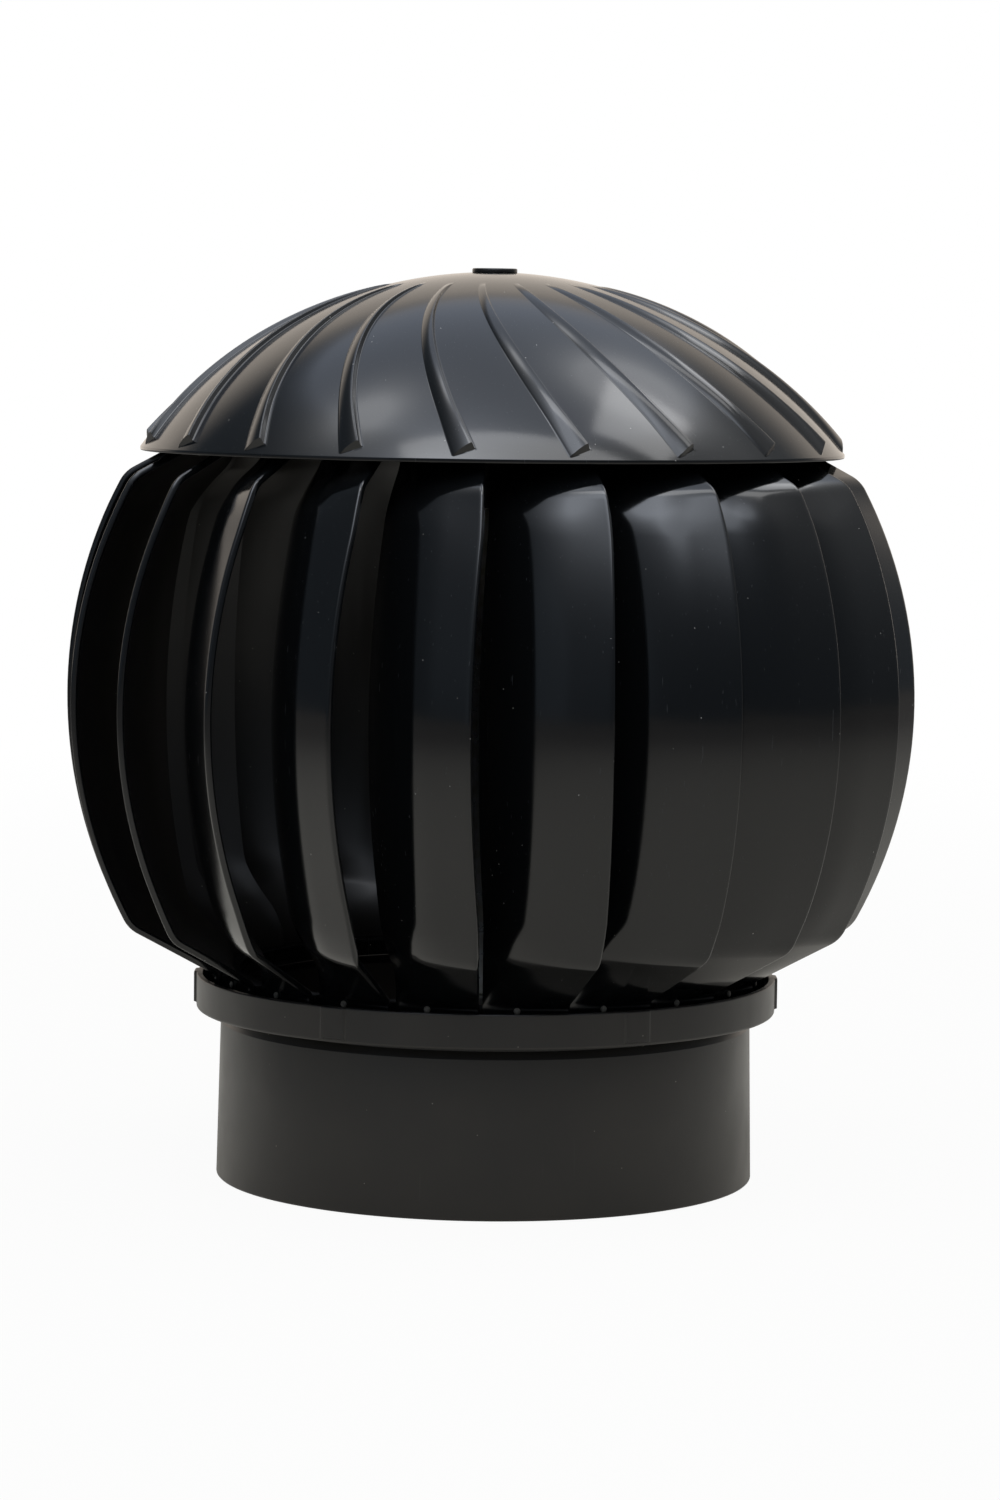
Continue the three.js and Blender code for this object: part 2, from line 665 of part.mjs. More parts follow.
// A deep-groove bearing in three pieces, from its lower face up.
function raceSection(plain, grooved, bottom) {
  const grooveWidth = ballRadius * 2 - raceGroove;
  const depth = Math.sign(plain - grooved) * raceGroove;
  const centre = bottom + bearingWidth / 2;
  const section = [
    [plain, bottom],
    [grooved, bottom],
    [grooved, centre - grooveWidth / 2],
    [grooved + depth, centre - grooveWidth / 4],
    [grooved + depth, centre + grooveWidth / 4],
    [grooved, centre + grooveWidth / 2],
    [grooved, bottom + bearingWidth],
    [plain, bottom + bearingWidth],
  ];
  return plain < grooved ? section : section.reverse();
}

function makeCage(bottom) {
  const centre = bottom + bearingWidth / 2;
  const ring = tube(ballCircle - cageWall / 2, ballCircle + cageWall / 2, centre - cageWidth / 2,
    centre + cageWidth / 2, smallSteps);
  const balls = repeat(ballCount, (i) => {
    const spot = polar(ballCircle, i * 360 / ballCount, centre);
    return solid(new THREE.IcosahedronGeometry(ballRadius, 0)).translate([spot.x, spot.y, spot.z]);
  });
  return ring.add(wasm.Manifold.union(balls));
}

function placeBearing(name, bottom) {
  const inner = raceSection(bearingBore, bearingBore + raceWall, bottom);
  const outer = raceSection(bearingRadius, bearingRadius - raceWall, bottom);
  place(`${name}_inner_race`, turned(inner, smallSteps), 'bearingSteel');
  place(`${name}_outer_race`, turned(outer, smallSteps), 'bearingSteel');
  place(`${name}_ball_cage`, makeCage(bottom), 'bearingSteel');
}

// A pan-head screw. It points down, or up when it is turned over.
function makeScrew(radius, head, length, seat, pointsUp) {
  const flip = pointsUp ? -1 : 1;
  const section = [
    [0, seat - flip * length],
    [radius / 2, seat - flip * length],
    [radius, seat - flip * (length - radius)],
    [radius, seat],
    [head, seat],
    [head, seat + flip * (screwHeadHeight - screwChamfer)],
    [head - screwChamfer, seat + flip * screwHeadHeight],
    [0, seat + flip * screwHeadHeight],
  ];
  return turned(pointsUp ? section.reverse() : section, screwSteps);
}

function placeScrews(name, count, circle, angleOf, shape) {
  repeat(count, (i) => {
    const spot = polar(circle, angleOf(i), 0);
    place(`${name}_${i + 1}`, shape.translate([spot.x, spot.y, 0]), 'zincSteel');
  });
}

place('pipe_collar', makeCollar(), 'satinBlack');
place('base_ring', makeBaseRing(), 'satinBlack');
place('spider', makeSpider(), 'satinBlack');
place('axle', makeAxle(), 'zincSteel');
const heights = axleHeights();
const washer = tube(bearingBore, washerRadius, heights.washerTop - washerThickness, heights.washerTop,
  smallSteps);
place('axle_washer', washer, 'zincSteel');
place('axle_nut', makeNut(heights.lowerNutTop - nutHeight), 'zincSteel');
place('bearing_lock_nut', makeNut(heights.topNut), 'zincSteel');
placeScrews('spider_screw', spiderArms, screwCircle, armAngle,
  makeScrew(spiderScrewRadius, spiderScrewHead, spiderScrewLength, spiderUnderside + padThickness + seatGap,
    false));

placeBearing('lower_bearing', lowerBearing);
placeBearing('upper_bearing', upperBearing);
const spacer = tube(bearingBore, bearingBore + raceWall, lowerBearing + bearingWidth + seatGap,
  upperBearing - seatGap, smallSteps);
place('bearing_spacer', spacer, 'zincSteel');

place('rotor_lower_ring', makeLowerRing(), 'glossBlack');
const blade = makeBlade();
repeat(bladeCount, (i) => place(`blade_${String(i + 1).padStart(2, '0')}`, blade, 'glossBlack', i * pitch));
place('rotor_top_plate', makeTopPlate(), 'glossBlack');
place('dome_cap', makeCap(), 'glossBlack');
placeScrews('dome_screw', bossCount, bossCircle, screwAngle,
  makeScrew(domeScrewRadius, domeScrewHead, domeScrewLength, plateBottom - seatGap, true));
place('dome_disc', makeDisc(), 'satinBlack');

export default ventHead;
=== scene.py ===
# A wind-driven roof vent head in moulded black plastic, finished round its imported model.
# Shapes are made in millimetres in the model's own frame, and finishPiece brings them to metres.
import math

import bmesh
import bpy
from mathutils import Matrix, Vector


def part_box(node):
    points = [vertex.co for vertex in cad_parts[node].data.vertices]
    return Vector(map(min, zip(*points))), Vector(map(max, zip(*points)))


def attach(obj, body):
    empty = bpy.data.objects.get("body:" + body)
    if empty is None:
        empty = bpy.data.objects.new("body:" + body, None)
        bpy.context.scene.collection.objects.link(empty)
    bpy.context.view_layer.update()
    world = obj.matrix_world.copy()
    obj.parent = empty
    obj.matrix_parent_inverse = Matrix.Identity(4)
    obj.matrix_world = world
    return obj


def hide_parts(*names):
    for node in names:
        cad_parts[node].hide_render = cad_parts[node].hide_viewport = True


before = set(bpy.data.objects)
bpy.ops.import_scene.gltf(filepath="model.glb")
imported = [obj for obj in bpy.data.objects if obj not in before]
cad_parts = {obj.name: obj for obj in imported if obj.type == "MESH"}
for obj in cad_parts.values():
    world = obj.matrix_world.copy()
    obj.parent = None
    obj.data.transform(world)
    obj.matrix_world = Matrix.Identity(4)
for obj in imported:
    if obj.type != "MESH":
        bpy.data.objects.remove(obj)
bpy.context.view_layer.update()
print("frame loaded,", len(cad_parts), "nodes")

millimetre = 0.001
up = Vector((0, 0, 1))
seatGap = 0.3  # what the solids leave between pieces that rest on each other


# The camera stands a little above the vent head's middle, 1.4 m away.
cameraPlace = {
    "location": (0, -1.4041, 0.25285),
    "lens": 113.62,
    "sensor": 36,
    "downTilt": 0.0893,  # radians below level
    "turn": -0.0024,
    "roll": 0.0131,
}


def makeCamera(place):
    data = bpy.data.cameras.new("photoCamera")
    data.lens = place["lens"]
    data.sensor_width = place["sensor"]
    camera = bpy.data.objects.new("photoCamera", data)
    bpy.context.scene.collection.objects.link(camera)
    camera.matrix_world = (
        Matrix.Translation(place["location"])
        @ Matrix.Rotation(place["turn"], 4, "Z")
        @ Matrix.Rotation(math.pi / 2 - place["downTilt"], 4, "X")
        @ Matrix.Rotation(place["roll"], 4, "Z")
    )
    bpy.context.scene.camera = camera


makeCamera(cameraPlace)
print("camera placed")


# Shape helpers

def boxOf(node):
    low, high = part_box(node)
    return low / millimetre, high / millimetre


def polar(radius, angle, height):
    # degrees from the -Y side towards +X
    turn = math.radians(angle)
    return Vector((radius * math.sin(turn), -radius * math.cos(turn), height))


def mix(start, end, share):
    return start + (end - start) * share


def clamp(value, low=0.0, high=1.0):
    return max(low, min(high, value))


def softened(corners, steps=3):
    # (radius, height, rounding) corners to points, each rounding as a short arc
    points = []
    count = len(corners)
    for i, (radius, height, rounding) in enumerate(corners):
        corner = Vector((radius, height))
        if not rounding:
            points.append(corner)
            continue
        before = (Vector(corners[i - 1][:2]) - corner).normalized()
        after = (Vector(corners[(i + 1) % count][:2]) - corner).normalized()
        half = before.angle(after) / 2
        centre = corner + (before + after).normalized() * rounding / math.sin(half)
        start = corner + before * rounding / math.tan(half) - centre
        end = corner + after * rounding / math.tan(half) - centre
        for k in range(steps + 1):
            points.append(centre + start.lerp(end, k / steps).normalized() * rounding)
    return points


def newVerts(bm, before):
    return [vert for vert in bm.verts if vert not in before]


def spun(bm, section, steps, isLoop=True):
    # A section of [radius, height] points turned full circle. One that starts on the axis is no loop.
    before = set(bm.verts)
    ring = [bm.verts.new((0, -radius, height)) for radius, height in section]
    ends = ring[1:] + ring[:1] if isLoop and section[0][0] > 0 else ring[1:]
    edges = [bm.edges.new(pair) for pair in zip(ring, ends)]
    bmesh.ops.spin(bm, geom=ring + edges, cent=(0, 0, 0), axis=up, angle=math.tau, steps=steps,
                   use_merge=True, use_duplicate=False)
    bmesh.ops.remove_doubles(bm, verts=newVerts(bm, before), dist=0.0005)
    made = newVerts(bm, before)
    faces = list({face for vert in made for face in vert.link_faces})
    bmesh.ops.recalc_face_normals(bm, faces=faces)
    return made


def shapeColumns(verts, columns, shape):
    # Hands each vertex of a spun shape to shape(radius, height, column) and puts it where that says.
    for vert in verts:
        angle = math.degrees(math.atan2(vert.co.x, -vert.co.y)) % 360
        column = round(angle * columns / 360) % columns
        vert.co = shape(vert.co.xy.length, vert.co.z, column)


def placeVerts(bm, verts, *matrices):
    for matrix in matrices:
        bmesh.ops.transform(bm, matrix=matrix, verts=verts)


def turnedBy(angle):
    return Matrix.Rotation(math.radians(angle), 4, "Z")


def radialBlock(bm, inner, outer, width, bottom, top, angle, edge=0.4):
    # A block with softened edges that reaches outwards from one radius to another.
    before = set(bm.verts)
    cube = bmesh.ops.create_cube(bm, size=1)["verts"]
    bmesh.ops.scale(bm, vec=(width, outer - inner, top - bottom), verts=cube)
    bmesh.ops.translate(bm, vec=(0, -(inner + outer) / 2, (bottom + top) / 2), verts=cube)
    edges = list({e for vert in cube for e in vert.link_edges})
    bmesh.ops.bevel(bm, geom=edges, offset=edge, offset_type="OFFSET", affect="EDGES", segments=2,
                    profile=0.5, material=-1)
    made = newVerts(bm, before)
    placeVerts(bm, made, turnedBy(angle))
    return made


def addObject(name, bm, *materials):
    mesh = bpy.data.meshes.new(name)
    bm.to_mesh(mesh)
    bm.free()
    for material in materials:
        mesh.materials.append(material)
    made = bpy.data.objects.new(name, mesh)
    bpy.context.scene.collection.objects.link(made)
    return made


def finishPiece(bm, node, body, slotName, *moreMaterials, sharpAngle=40):
    # Brings the shape to metres and puts it in its node's place.
    bmesh.ops.scale(bm, vec=(millimetre,) * 3, verts=bm.verts)
    piece = addObject("finished_" + node, bm, slotMaterials[slotName], *moreMaterials)
    piece.data.shade_smooth()
    piece.data.set_sharp_from_angle(angle=math.radians(sharpAngle))
    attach(piece, body)
    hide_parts(node)


# Material helpers

def linear(hexColour):
    channels = [int(hexColour[i:i + 2], 16) / 255 for i in (1, 3, 5)]
    return tuple(c / 12.92 if c <= 0.04045 else ((c + 0.055) / 1.055) ** 2.4 for c in channels) + (1,)


def perMetre(spacing):
    # texture scale of a pattern that repeats every so many millimetres
    return 1 / (spacing * millimetre)


def addNode(tree, kind, sockets, **settings):
    # Adds a node with its settings and links, and hands back its outputs.
    node = tree.nodes.new("ShaderNode" + kind)
    for name, value in settings.items():
        setattr(node, name, value)
    for name, value in sockets.items():
        if isinstance(value, bpy.types.NodeSocket):
            tree.links.new(value, node.inputs[name])
        else:
            node.inputs[name].default_value = value
    return node.outputs


def startMaterial(name):
    material = bpy.data.materials.new(name)
    material.use_nodes = True
    tree = material.node_tree
    tree.nodes.clear()
    return material, tree, addNode(tree, "TexCoord", {})["Object"]


def finishMaterial(tree, **sockets):
    named = {name.replace("_", " "): value for name, value in sockets.items()}
    shader = addNode(tree, "BsdfPrincipled", named)
    addNode(tree, "OutputMaterial", {"Surface": shader["BSDF"]})


def layered(tree, base, *layers):
    # A colour with others laid over it, each as far as its share says.
    tone = linear(base)
    for share, colour in layers:
        tone = addNode(tree, "Mix", {0: share, 6: tone, 7: linear(colour)}, data_type="RGBA")[2]
    return tone


def largest(tree, first, *others):
    for other in others:
        first = addNode(tree, "Math", {0: first, 1: other}, operation="MAXIMUM")[0]
    return first


def patchy(tree, coords, spacing, detail, low, high):
    # A value that drifts between two others, in patches. Noise mostly lies between 0.3 and 0.7.
    noise = addNode(tree, "TexNoise", {"Vector": coords, "Scale": perMetre(spacing), "Detail": detail})
    return addNode(tree, "MapRange", {"Value": noise["Fac"], "From Min": 0.3, "From Max": 0.7,
                                      "To Min": low, "To Max": high})["Result"]


def uneven(tree, coords, spacing, detail, depth, **under):
    # Shallow waves in the surface, over a Normal if one is given.
    noise = addNode(tree, "TexNoise", {"Vector": coords, "Scale": perMetre(spacing), "Detail": detail})
    return addNode(tree, "Bump", {"Height": noise["Fac"], "Distance": depth * millimetre,
                                  "Strength": 1.0, **under})["Normal"]


def toolMarks(tree, coords, spacing, depth, waver, direction):
    # The fine rings that a cutting or grinding tool leaves. The texture has 20 / tau waves to a unit.
    wave = addNode(tree, "TexWave", {"Vector": coords, "Scale": perMetre(spacing) * math.tau / 20,
                                     "Distortion": waver}, **direction)
    return addNode(tree, "Bump", {"Height": wave["Fac"], "Distance": depth * millimetre,
                                  "Strength": 1.0})["Normal"]


def hairlines(tree, coords, width, length, turn, cover):
    # Fine scratches that run one way: the peaks of a noise that is drawn out along them.
    laid = addNode(tree, "Mapping", {"Vector": coords, "Rotation": turn, "Scale": (1, 1, width / length)})
    peaks = addNode(tree, "TexNoise", {"Vector": laid["Vector"], "Scale": perMetre(width * 2),
                                       "Detail": 0.0})
    return addNode(tree, "MapRange", {"Value": peaks["Fac"], "From Min": cover,
                                      "From Max": cover + 0.05})["Result"]


def dustSpecks(tree, coords, spacing, radius):
    cells = addNode(tree, "TexVoronoi", {"Vector": coords, "Scale": perMetre(spacing)})
    return addNode(tree, "Math", {0: cells["Distance"], 1: radius / spacing}, operation="LESS_THAN")[0]


# Polypropylene moulded against a polished tool: a deep black with wide soft reflections that waver
# where the wall sank a little, a few hairline scuffs from handling, and specks of dust.
glossPolypropylene = {
    "colour": "#08090a",
    "scuffColour": "#2e2f30",
    "dustColour": "#8c8a84",
    "ior": 1.49,
    "roughness": (0.09, 0.15),
    "sinkSpacing": 45,
    "sinkDepth": 0.12,
    "peelSpacing": 2.4,
    "peelDepth": 0.004,
    "scratchWidth": 0.14,  # real ones are finer, and wouldn't show
    "scratchLength": 24,
    "scratchCover": 0.845,
    "scratchTurns": ((0.25, 0.1, 0), (0.9, 0.35, 0.4), (1.4, 1.1, 0.2)),
    "scuffRoughness": 0.4,
    "dustSpacing": 6,
    "dustRadius": 0.17,
}


def makeGlossPolypropylene(look):
    material, tree, coords = startMaterial("mouldedGlossPolypropylene")
    scratches = largest(tree, *[
        hairlines(tree, coords, look["scratchWidth"], look["scratchLength"], turn, look["scratchCover"])
        for turn in look["scratchTurns"]])
    dust = dustSpecks(tree, coords, look["dustSpacing"], look["dustRadius"])
    tone = layered(tree, look["colour"], (scratches, look["scuffColour"]), (dust, look["dustColour"]))
    scuffed = addNode(tree, "Math", {0: scratches, 1: look["scuffRoughness"]}, operation="MULTIPLY")[0]
    rough = largest(tree, patchy(tree, coords, look["sinkSpacing"], 4.0, *look["roughness"]), scuffed)
    sink = uneven(tree, coords, look["sinkSpacing"], 0.0, look["sinkDepth"])
    peel = uneven(tree, coords, look["peelSpacing"], 2.0, look["peelDepth"], Normal=sink)
    finishMaterial(tree, Base_Color=tone, Roughness=rough, IOR=look["ior"], Normal=peel)
    return material


# The same plastic moulded against a fine-blasted tool: a dull warm black whose reflections are blurred
# to a sheen, with faint rubbed lines down the pull direction and duller patches where it was handled.
satinPolypropylene = {
    "colour": "#14110e",
    "smudgeColour": "#070606",
    "rubColour": "#201f1c",
    "dustColour": "#807c74",
    "ior": 1.49,
    "roughness": (0.30, 0.40),
    "patchSpacing": 26,
    "smudgeShare": 0.6,
    "grainSpacing": 0.7,
    "grainDepth": 0.006,
    "rubWidth": 0.3,
    "rubLength": 14,
    "rubTurn": (0.05, 0.02, 0),
    "rubCover": 0.85,
    "dustSpacing": 6,
    "dustRadius": 0.18,
}


def makeSatinPolypropylene(look):
    material, tree, coords = startMaterial("blastedSatinPolypropylene")
    rubs = hairlines(tree, coords, look["rubWidth"], look["rubLength"], look["rubTurn"], look["rubCover"])
    dust = dustSpecks(tree, coords, look["dustSpacing"], look["dustRadius"])
    handled = patchy(tree, coords, look["patchSpacing"], 3.0, 0.0, look["smudgeShare"])
    tone = layered(tree, look["colour"], (rubs, look["rubColour"]), (dust, look["dustColour"]),
                   (handled, look["smudgeColour"]))
    rough = patchy(tree, coords, look["patchSpacing"], 3.0, *look["roughness"])
    grain = uneven(tree, coords, look["grainSpacing"], 2.0, look["grainDepth"])
    finishMaterial(tree, Base_Color=tone, Roughness=rough, IOR=look["ior"], Normal=grain)
    return material


# The pegs' ends are a matt, chalky pale grey, so that they show as pale dots.
palePegEndLook = {
    "colour": "#6f6b62",
    "dullColour": "#4a4741",
    "roughness": 0.6,
    "patchSpacing": 0.8,
}


def makePalePegEnds(look):
    material, tree, coords = startMaterial("palePegEndGrey")
    patches = patchy(tree, coords, look["patchSpacing"], 2.0, 0.0, 1.0)
    finishMaterial(tree, Base_Color=layered(tree, look["colour"], (patches, look["dullColour"])),
                   Roughness=look["roughness"])
    return material


# Bright zinc plate on turned steel: a cool grey metal, cloudy where the passivation varies, with the
# tool's fine rings just showing. They are coarser than real feed marks, so that they show.
zincPlate = {
    "colour": "#b9bcbd",
    "filmColour": "#a39f8e",
    "roughness": (0.24, 0.42),
    "filmSpacing": 5,
    "filmDetail": 3.0,
    "markSpacing": 3.14,
    "markDepth": 0.004,
    "markWaver": 0.6,
    "markDirection": {"bands_direction": "Z"},
}
# Hardened bearing steel, ground and lapped: bright and clean, with grinding lines round the axis, again
# coarser than real ones, and a thin film of oil that varies the gloss.
groundSteel = {
    "colour": "#c9cbce",
    "filmColour": "#aeb0b0",
    "roughness": (0.10, 0.22),
    "filmSpacing": 6,
    "filmDetail": 2.0,
    "markSpacing": 2.51,
    "markDepth": 0.002,
    "markWaver": 0.0,
    "markDirection": {"wave_type": "RINGS", "rings_direction": "Z"},
}


def makeTurnedSteel(name, look):
    material, tree, coords = startMaterial(name)
    film = patchy(tree, coords, look["filmSpacing"], look["filmDetail"], 0.0, 1.0)
    rough = patchy(tree, coords, look["filmSpacing"], look["filmDetail"], *look["roughness"])
    marks = toolMarks(tree, coords, look["markSpacing"], look["markDepth"], look["markWaver"],
                      look["markDirection"])
    finishMaterial(tree, Base_Color=layered(tree, look["colour"], (film, look["filmColour"])),
                   Metallic=1.0, Roughness=rough, Normal=marks)
    return material


palePegEnds = makePalePegEnds(palePegEndLook)
slotMaterials = {
    "gloss_black_plastic": makeGlossPolypropylene(glossPolypropylene),
    "satin_black_plastic": makeSatinPolypropylene(satinPolypropylene),
    "zinc_plated_steel": makeTurnedSteel("zincPlatedSteel", zincPlate),
    "bearing_steel": makeTurnedSteel("groundBearingSteel", groundSteel),
}
print("materials made")


# Pipe collar: a slightly tapered tube with a top flange, and four lugs that carry the spider.
collar = {
    "bottomRadius": 80,
    "topRadius": 79,
    "bore": 76.6,
    "neck": 46.1,  # where the wall draws in below the base ring, which the solid lacks
    "neckDepth": 1.1,
    "neckSlope": 2.3,
    "chamfer": 0.6,
    "flange": 2,
    "steps": 192,
    "armCount": 4,
    "lugWidth": 12,
    "lugHeight": 12,
    "lugDepth": 10.6,
    "lugDrop": 17.7,
    "screwCircle": 71,
    "screwHole": 2,
}


def squaredBlock(bm, halfWidth, halfDepth, hole, bottom, top):
    # A block round an upright hole: a turned ring whose outside is pushed out to a rectangle.
    wall = min(halfWidth, halfDepth)
    made = spun(bm, softened([(hole, bottom, 0), (wall, bottom, 0.5), (wall, top, 0.5), (hole, top, 0)], 2),
                32)
    for vert in made:
        radius = vert.co.xy.length
        if radius > hole + 0.01:
            along = vert.co.xy / radius
            square = min(halfWidth / max(abs(along.x), 1e-6), halfDepth / max(abs(along.y), 1e-6))
            vert.co.xy = along * mix(hole, square, (radius - hole) / (wall - hole))
    return made


def screwBlock(bm, sizes, width, inner, outer, bottom, top, angle):
    # A block from one radius to another, with a screw's hole through it.
    reachIn = sizes["screwCircle"] - inner
    block = squaredBlock(bm, width / 2, reachIn, sizes["screwHole"], bottom, top)
    for vert in block:
        if vert.co.y < -sizes["screwHole"]:
            vert.co.y *= (outer - sizes["screwCircle"]) / reachIn
    placeVerts(bm, block, Matrix.Translation((0, -sizes["screwCircle"], 0)), turnedBy(angle))


def makeCollar(sizes):
    low, high = boxOf("pipe_collar")
    flangeRadius = high.x
    underside = high.z - sizes["flange"]
    neckRadius = sizes["topRadius"] - sizes["neckDepth"]
    bm = bmesh.new()
    spun(bm, softened([
        (sizes["bore"], low.z, 0.5),
        (sizes["bottomRadius"], low.z, sizes["chamfer"]),
        (sizes["topRadius"], sizes["neck"], 0.3),
        (neckRadius, sizes["neck"] + sizes["neckSlope"], 0.3),
        (neckRadius, underside, 0.4),
        (flangeRadius, underside, 0.4),
        (flangeRadius, high.z, 0.4),
        (sizes["bore"], high.z, 0.4),
    ]), sizes["steps"])
    seat = high.z - sizes["lugDrop"]
    wallMiddle = (sizes["bore"] + sizes["topRadius"]) / 2
    for i in range(sizes["armCount"]):
        screwBlock(bm, sizes, sizes["lugWidth"], sizes["bore"] - sizes["lugDepth"], wallMiddle,
                   seat - sizes["lugHeight"], seat, i * 360 / sizes["armCount"])
    finishPiece(bm, "pipe_collar", "base", "satin_black_plastic")


# Base ring: a shallow cup with six clip pads, each with a hook inside that snaps over the collar's flange.
baseRing = {
    "wall": 1.8,
    "lip": 1.5,
    "lipRadius": 80.3,
    "lipDepth": 6,
    "bottomEdge": 0.8,
    "topEdge": 0.35,
    "padCount": 6,
    "padWidth": 8,
    "padProud": 0.8,
    "padLift": 0.15,  # from the bottom edge's rounding up to the pads
    "padSlope": 0.25,
    "padMargin": 0.6,  # below the top
    "padAngle": 30,
    "hookDepth": 1.2,
    "hookHeight": 1.5,
    "hookGap": 0.3,
    "restColumns": 9,
}


def padStations(sizes, radius):
    # (degrees from the pad's middle, share of its standing out) across one pad's sector
    half = math.degrees(sizes["padWidth"] / 2 / radius)
    sector = 360 / sizes["padCount"]
    side = [(half * 0.5, 1), (half - 0.32, 1), (half - 0.2, 0.95), (half - 0.1, 0.78), (half + 0.1, 0.22),
            (half + 0.2, 0.05), (half + 0.32, 0)]
    side += [(mix(half + 0.6, sector / 2, i / sizes["restColumns"]), 0) for i in range(sizes["restColumns"])]
    return [(-angle, proud) for angle, proud in reversed(side)] + [(0, 1)] + side


def makeBaseRing(sizes):
    low, high = boxOf("base_ring")
    ringRadius = sizes["lipRadius"] + sizes["lipDepth"]
    inner = ringRadius - sizes["wall"]
    edge = sizes["bottomEdge"]
    stations = padStations(sizes, ringRadius)
    padFoot = low.z + edge + sizes["padLift"]
    section = softened([
        (sizes["lipRadius"], low.z, 0.3),
        (ringRadius, low.z, edge),
        (ringRadius, padFoot, 0),
        (ringRadius, padFoot + sizes["padSlope"], 0),
        (ringRadius, high.z - sizes["padMargin"], 0),
        (ringRadius, high.z, sizes["topEdge"]),
        (inner, high.z, sizes["topEdge"]),
        (inner, low.z + sizes["lip"], 0.4),
        (sizes["lipRadius"], low.z + sizes["lip"], 0.3),
    ], 4)
    bm = bmesh.new()
    columns = len(stations) * sizes["padCount"]

    def shape(radius, height, column):
        sector, station = divmod(column, len(stations))
        angle, proud = stations[station]
        onWall = radius > ringRadius - sizes["topEdge"] - 0.01 and height > padFoot + 0.01
        stand = sizes["padProud"] * proud if onWall else 0
        return polar(radius + stand, sizes["padAngle"] + sector * 360 / sizes["padCount"] + angle, height)

    shapeColumns(spun(bm, section, columns), columns, shape)
    hookBottom = boxOf("pipe_collar")[1].z + sizes["hookGap"]
    for i in range(sizes["padCount"]):
        radialBlock(bm, inner - sizes["hookDepth"], inner + sizes["wall"] / 2, sizes["padWidth"], hookBottom,
                    hookBottom + sizes["hookHeight"], sizes["padAngle"] + i * 360 / sizes["padCount"], 0.3)
    finishPiece(bm, "base_ring", "base", "satin_black_plastic", sharpAngle=50)


# Spider: a hub on four upright arms, each ending in a flat screw pad.
spider = {
    "bore": 5.3,
    "hubRadius": 13,
    "hubLap": 2,  # how deep the arms start in the hub
    "armCount": 4,
    "armWidth": 3.2,
    "armHeight": 11.7,
    "hubAboveArms": 3.5,
    "armLap": 2,
    "padLength": 11.5,
    "padWidth": 12,
    "padThickness": 3,
    "screwCircle": 71,
    "screwHole": 2,
}


def makeSpider(sizes):
    low, high = boxOf("spider")
    armTop = high.z - sizes["hubAboveArms"]
    armBottom = armTop - sizes["armHeight"]
    padInner = high.x - sizes["padLength"]
    bm = bmesh.new()
    spun(bm, softened([
        (sizes["bore"], low.z, 0.4),
        (sizes["hubRadius"], low.z, 0.8),
        (sizes["hubRadius"], high.z, 0.8),
        (sizes["bore"], high.z, 0.4),
    ]), 64)
    for i in range(sizes["armCount"]):
        angle = i * 360 / sizes["armCount"]
        radialBlock(bm, sizes["hubRadius"] - sizes["hubLap"], padInner + sizes["armLap"], sizes["armWidth"],
                    armBottom, armTop, angle, 0.5)
        screwBlock(bm, sizes, sizes["padWidth"], padInner, high.x, armBottom,
                   armBottom + sizes["padThickness"], angle)
    finishPiece(bm, "spider", "base", "satin_black_plastic")


makeCollar(collar)
makeBaseRing(baseRing)
makeSpider(spider)
print("collar, base ring and spider made")


# Axle: turned steel, stepped down for the bearings, with a clamping flange and threaded ends.
axle = {
    "radius": 5,
    "journal": 3.7,
    "flangeRadius": 8,
    "flange": 2.7,
    "chamfer": 0.8,
    "threadPitch": 1.25,
    "threadDepth": 0.35,
    "threadRunOut": 0.5,
    "shaftStart": 2,  # above the spider's underside
    "steps": 48,
}


def threadPoints(sizes, bottom, top):
    # The thread's ridges as rings, which is how a fine thread looks from a step away.
    count = round((top - bottom) / sizes["threadPitch"])
    points = []
    for i in range(count):
        start = bottom + (top - bottom) * i / count
        points.append((sizes["journal"] - sizes["threadDepth"], start))
        points.append((sizes["journal"], start + sizes["threadPitch"] * 0.4))
        points.append((sizes["journal"], start + sizes["threadPitch"] * 0.6))
    return points


def makeAxle(sizes):
    low, high = boxOf("axle")
    hubBottom = boxOf("spider")[0].z
    flangeBottom = boxOf("spider")[1].z + seatGap
    shoulder = boxOf("lower_bearing_inner_race")[0].z - seatGap
    nutBottom = boxOf("bearing_lock_nut")[0].z
    journal = sizes["journal"]
    section = [(0, low.z), (journal - sizes["chamfer"], low.z)]
    section += threadPoints(sizes, low.z + sizes["chamfer"], hubBottom)
    section += softened([
        (journal, hubBottom + sizes["threadRunOut"], 0),
        (journal, hubBottom + sizes["shaftStart"], 0),
        (sizes["radius"], hubBottom + sizes["shaftStart"], 0.3),
        (sizes["radius"], flangeBottom, 0),
        (sizes["flangeRadius"], flangeBottom, 0.4),
        (sizes["flangeRadius"], flangeBottom + sizes["flange"], 0.4),
        (sizes["radius"], flangeBottom + sizes["flange"], 0.3),
        (sizes["radius"], shoulder, 0.4),
        (journal, shoulder, 0),
        (journal, nutBottom - sizes["threadRunOut"], 0),
    ], 2)
    section += threadPoints(sizes, nutBottom, high.z - sizes["chamfer"])
    section += [(journal - sizes["chamfer"], high.z), (0, high.z)]
    bm = bmesh.new()
    spun(bm, section, sizes["steps"])
    finishPiece(bm, "axle", "base", "zinc_plated_steel")


nut = {
    "flats": 13,
    "bore": 4,
    "boreChamfer": 0.5,
    "chamferHeight": 0.9,
    "faceShare": 0.96,  # the end faces' radius, as a share of the flats'
    "columns": 72,
}


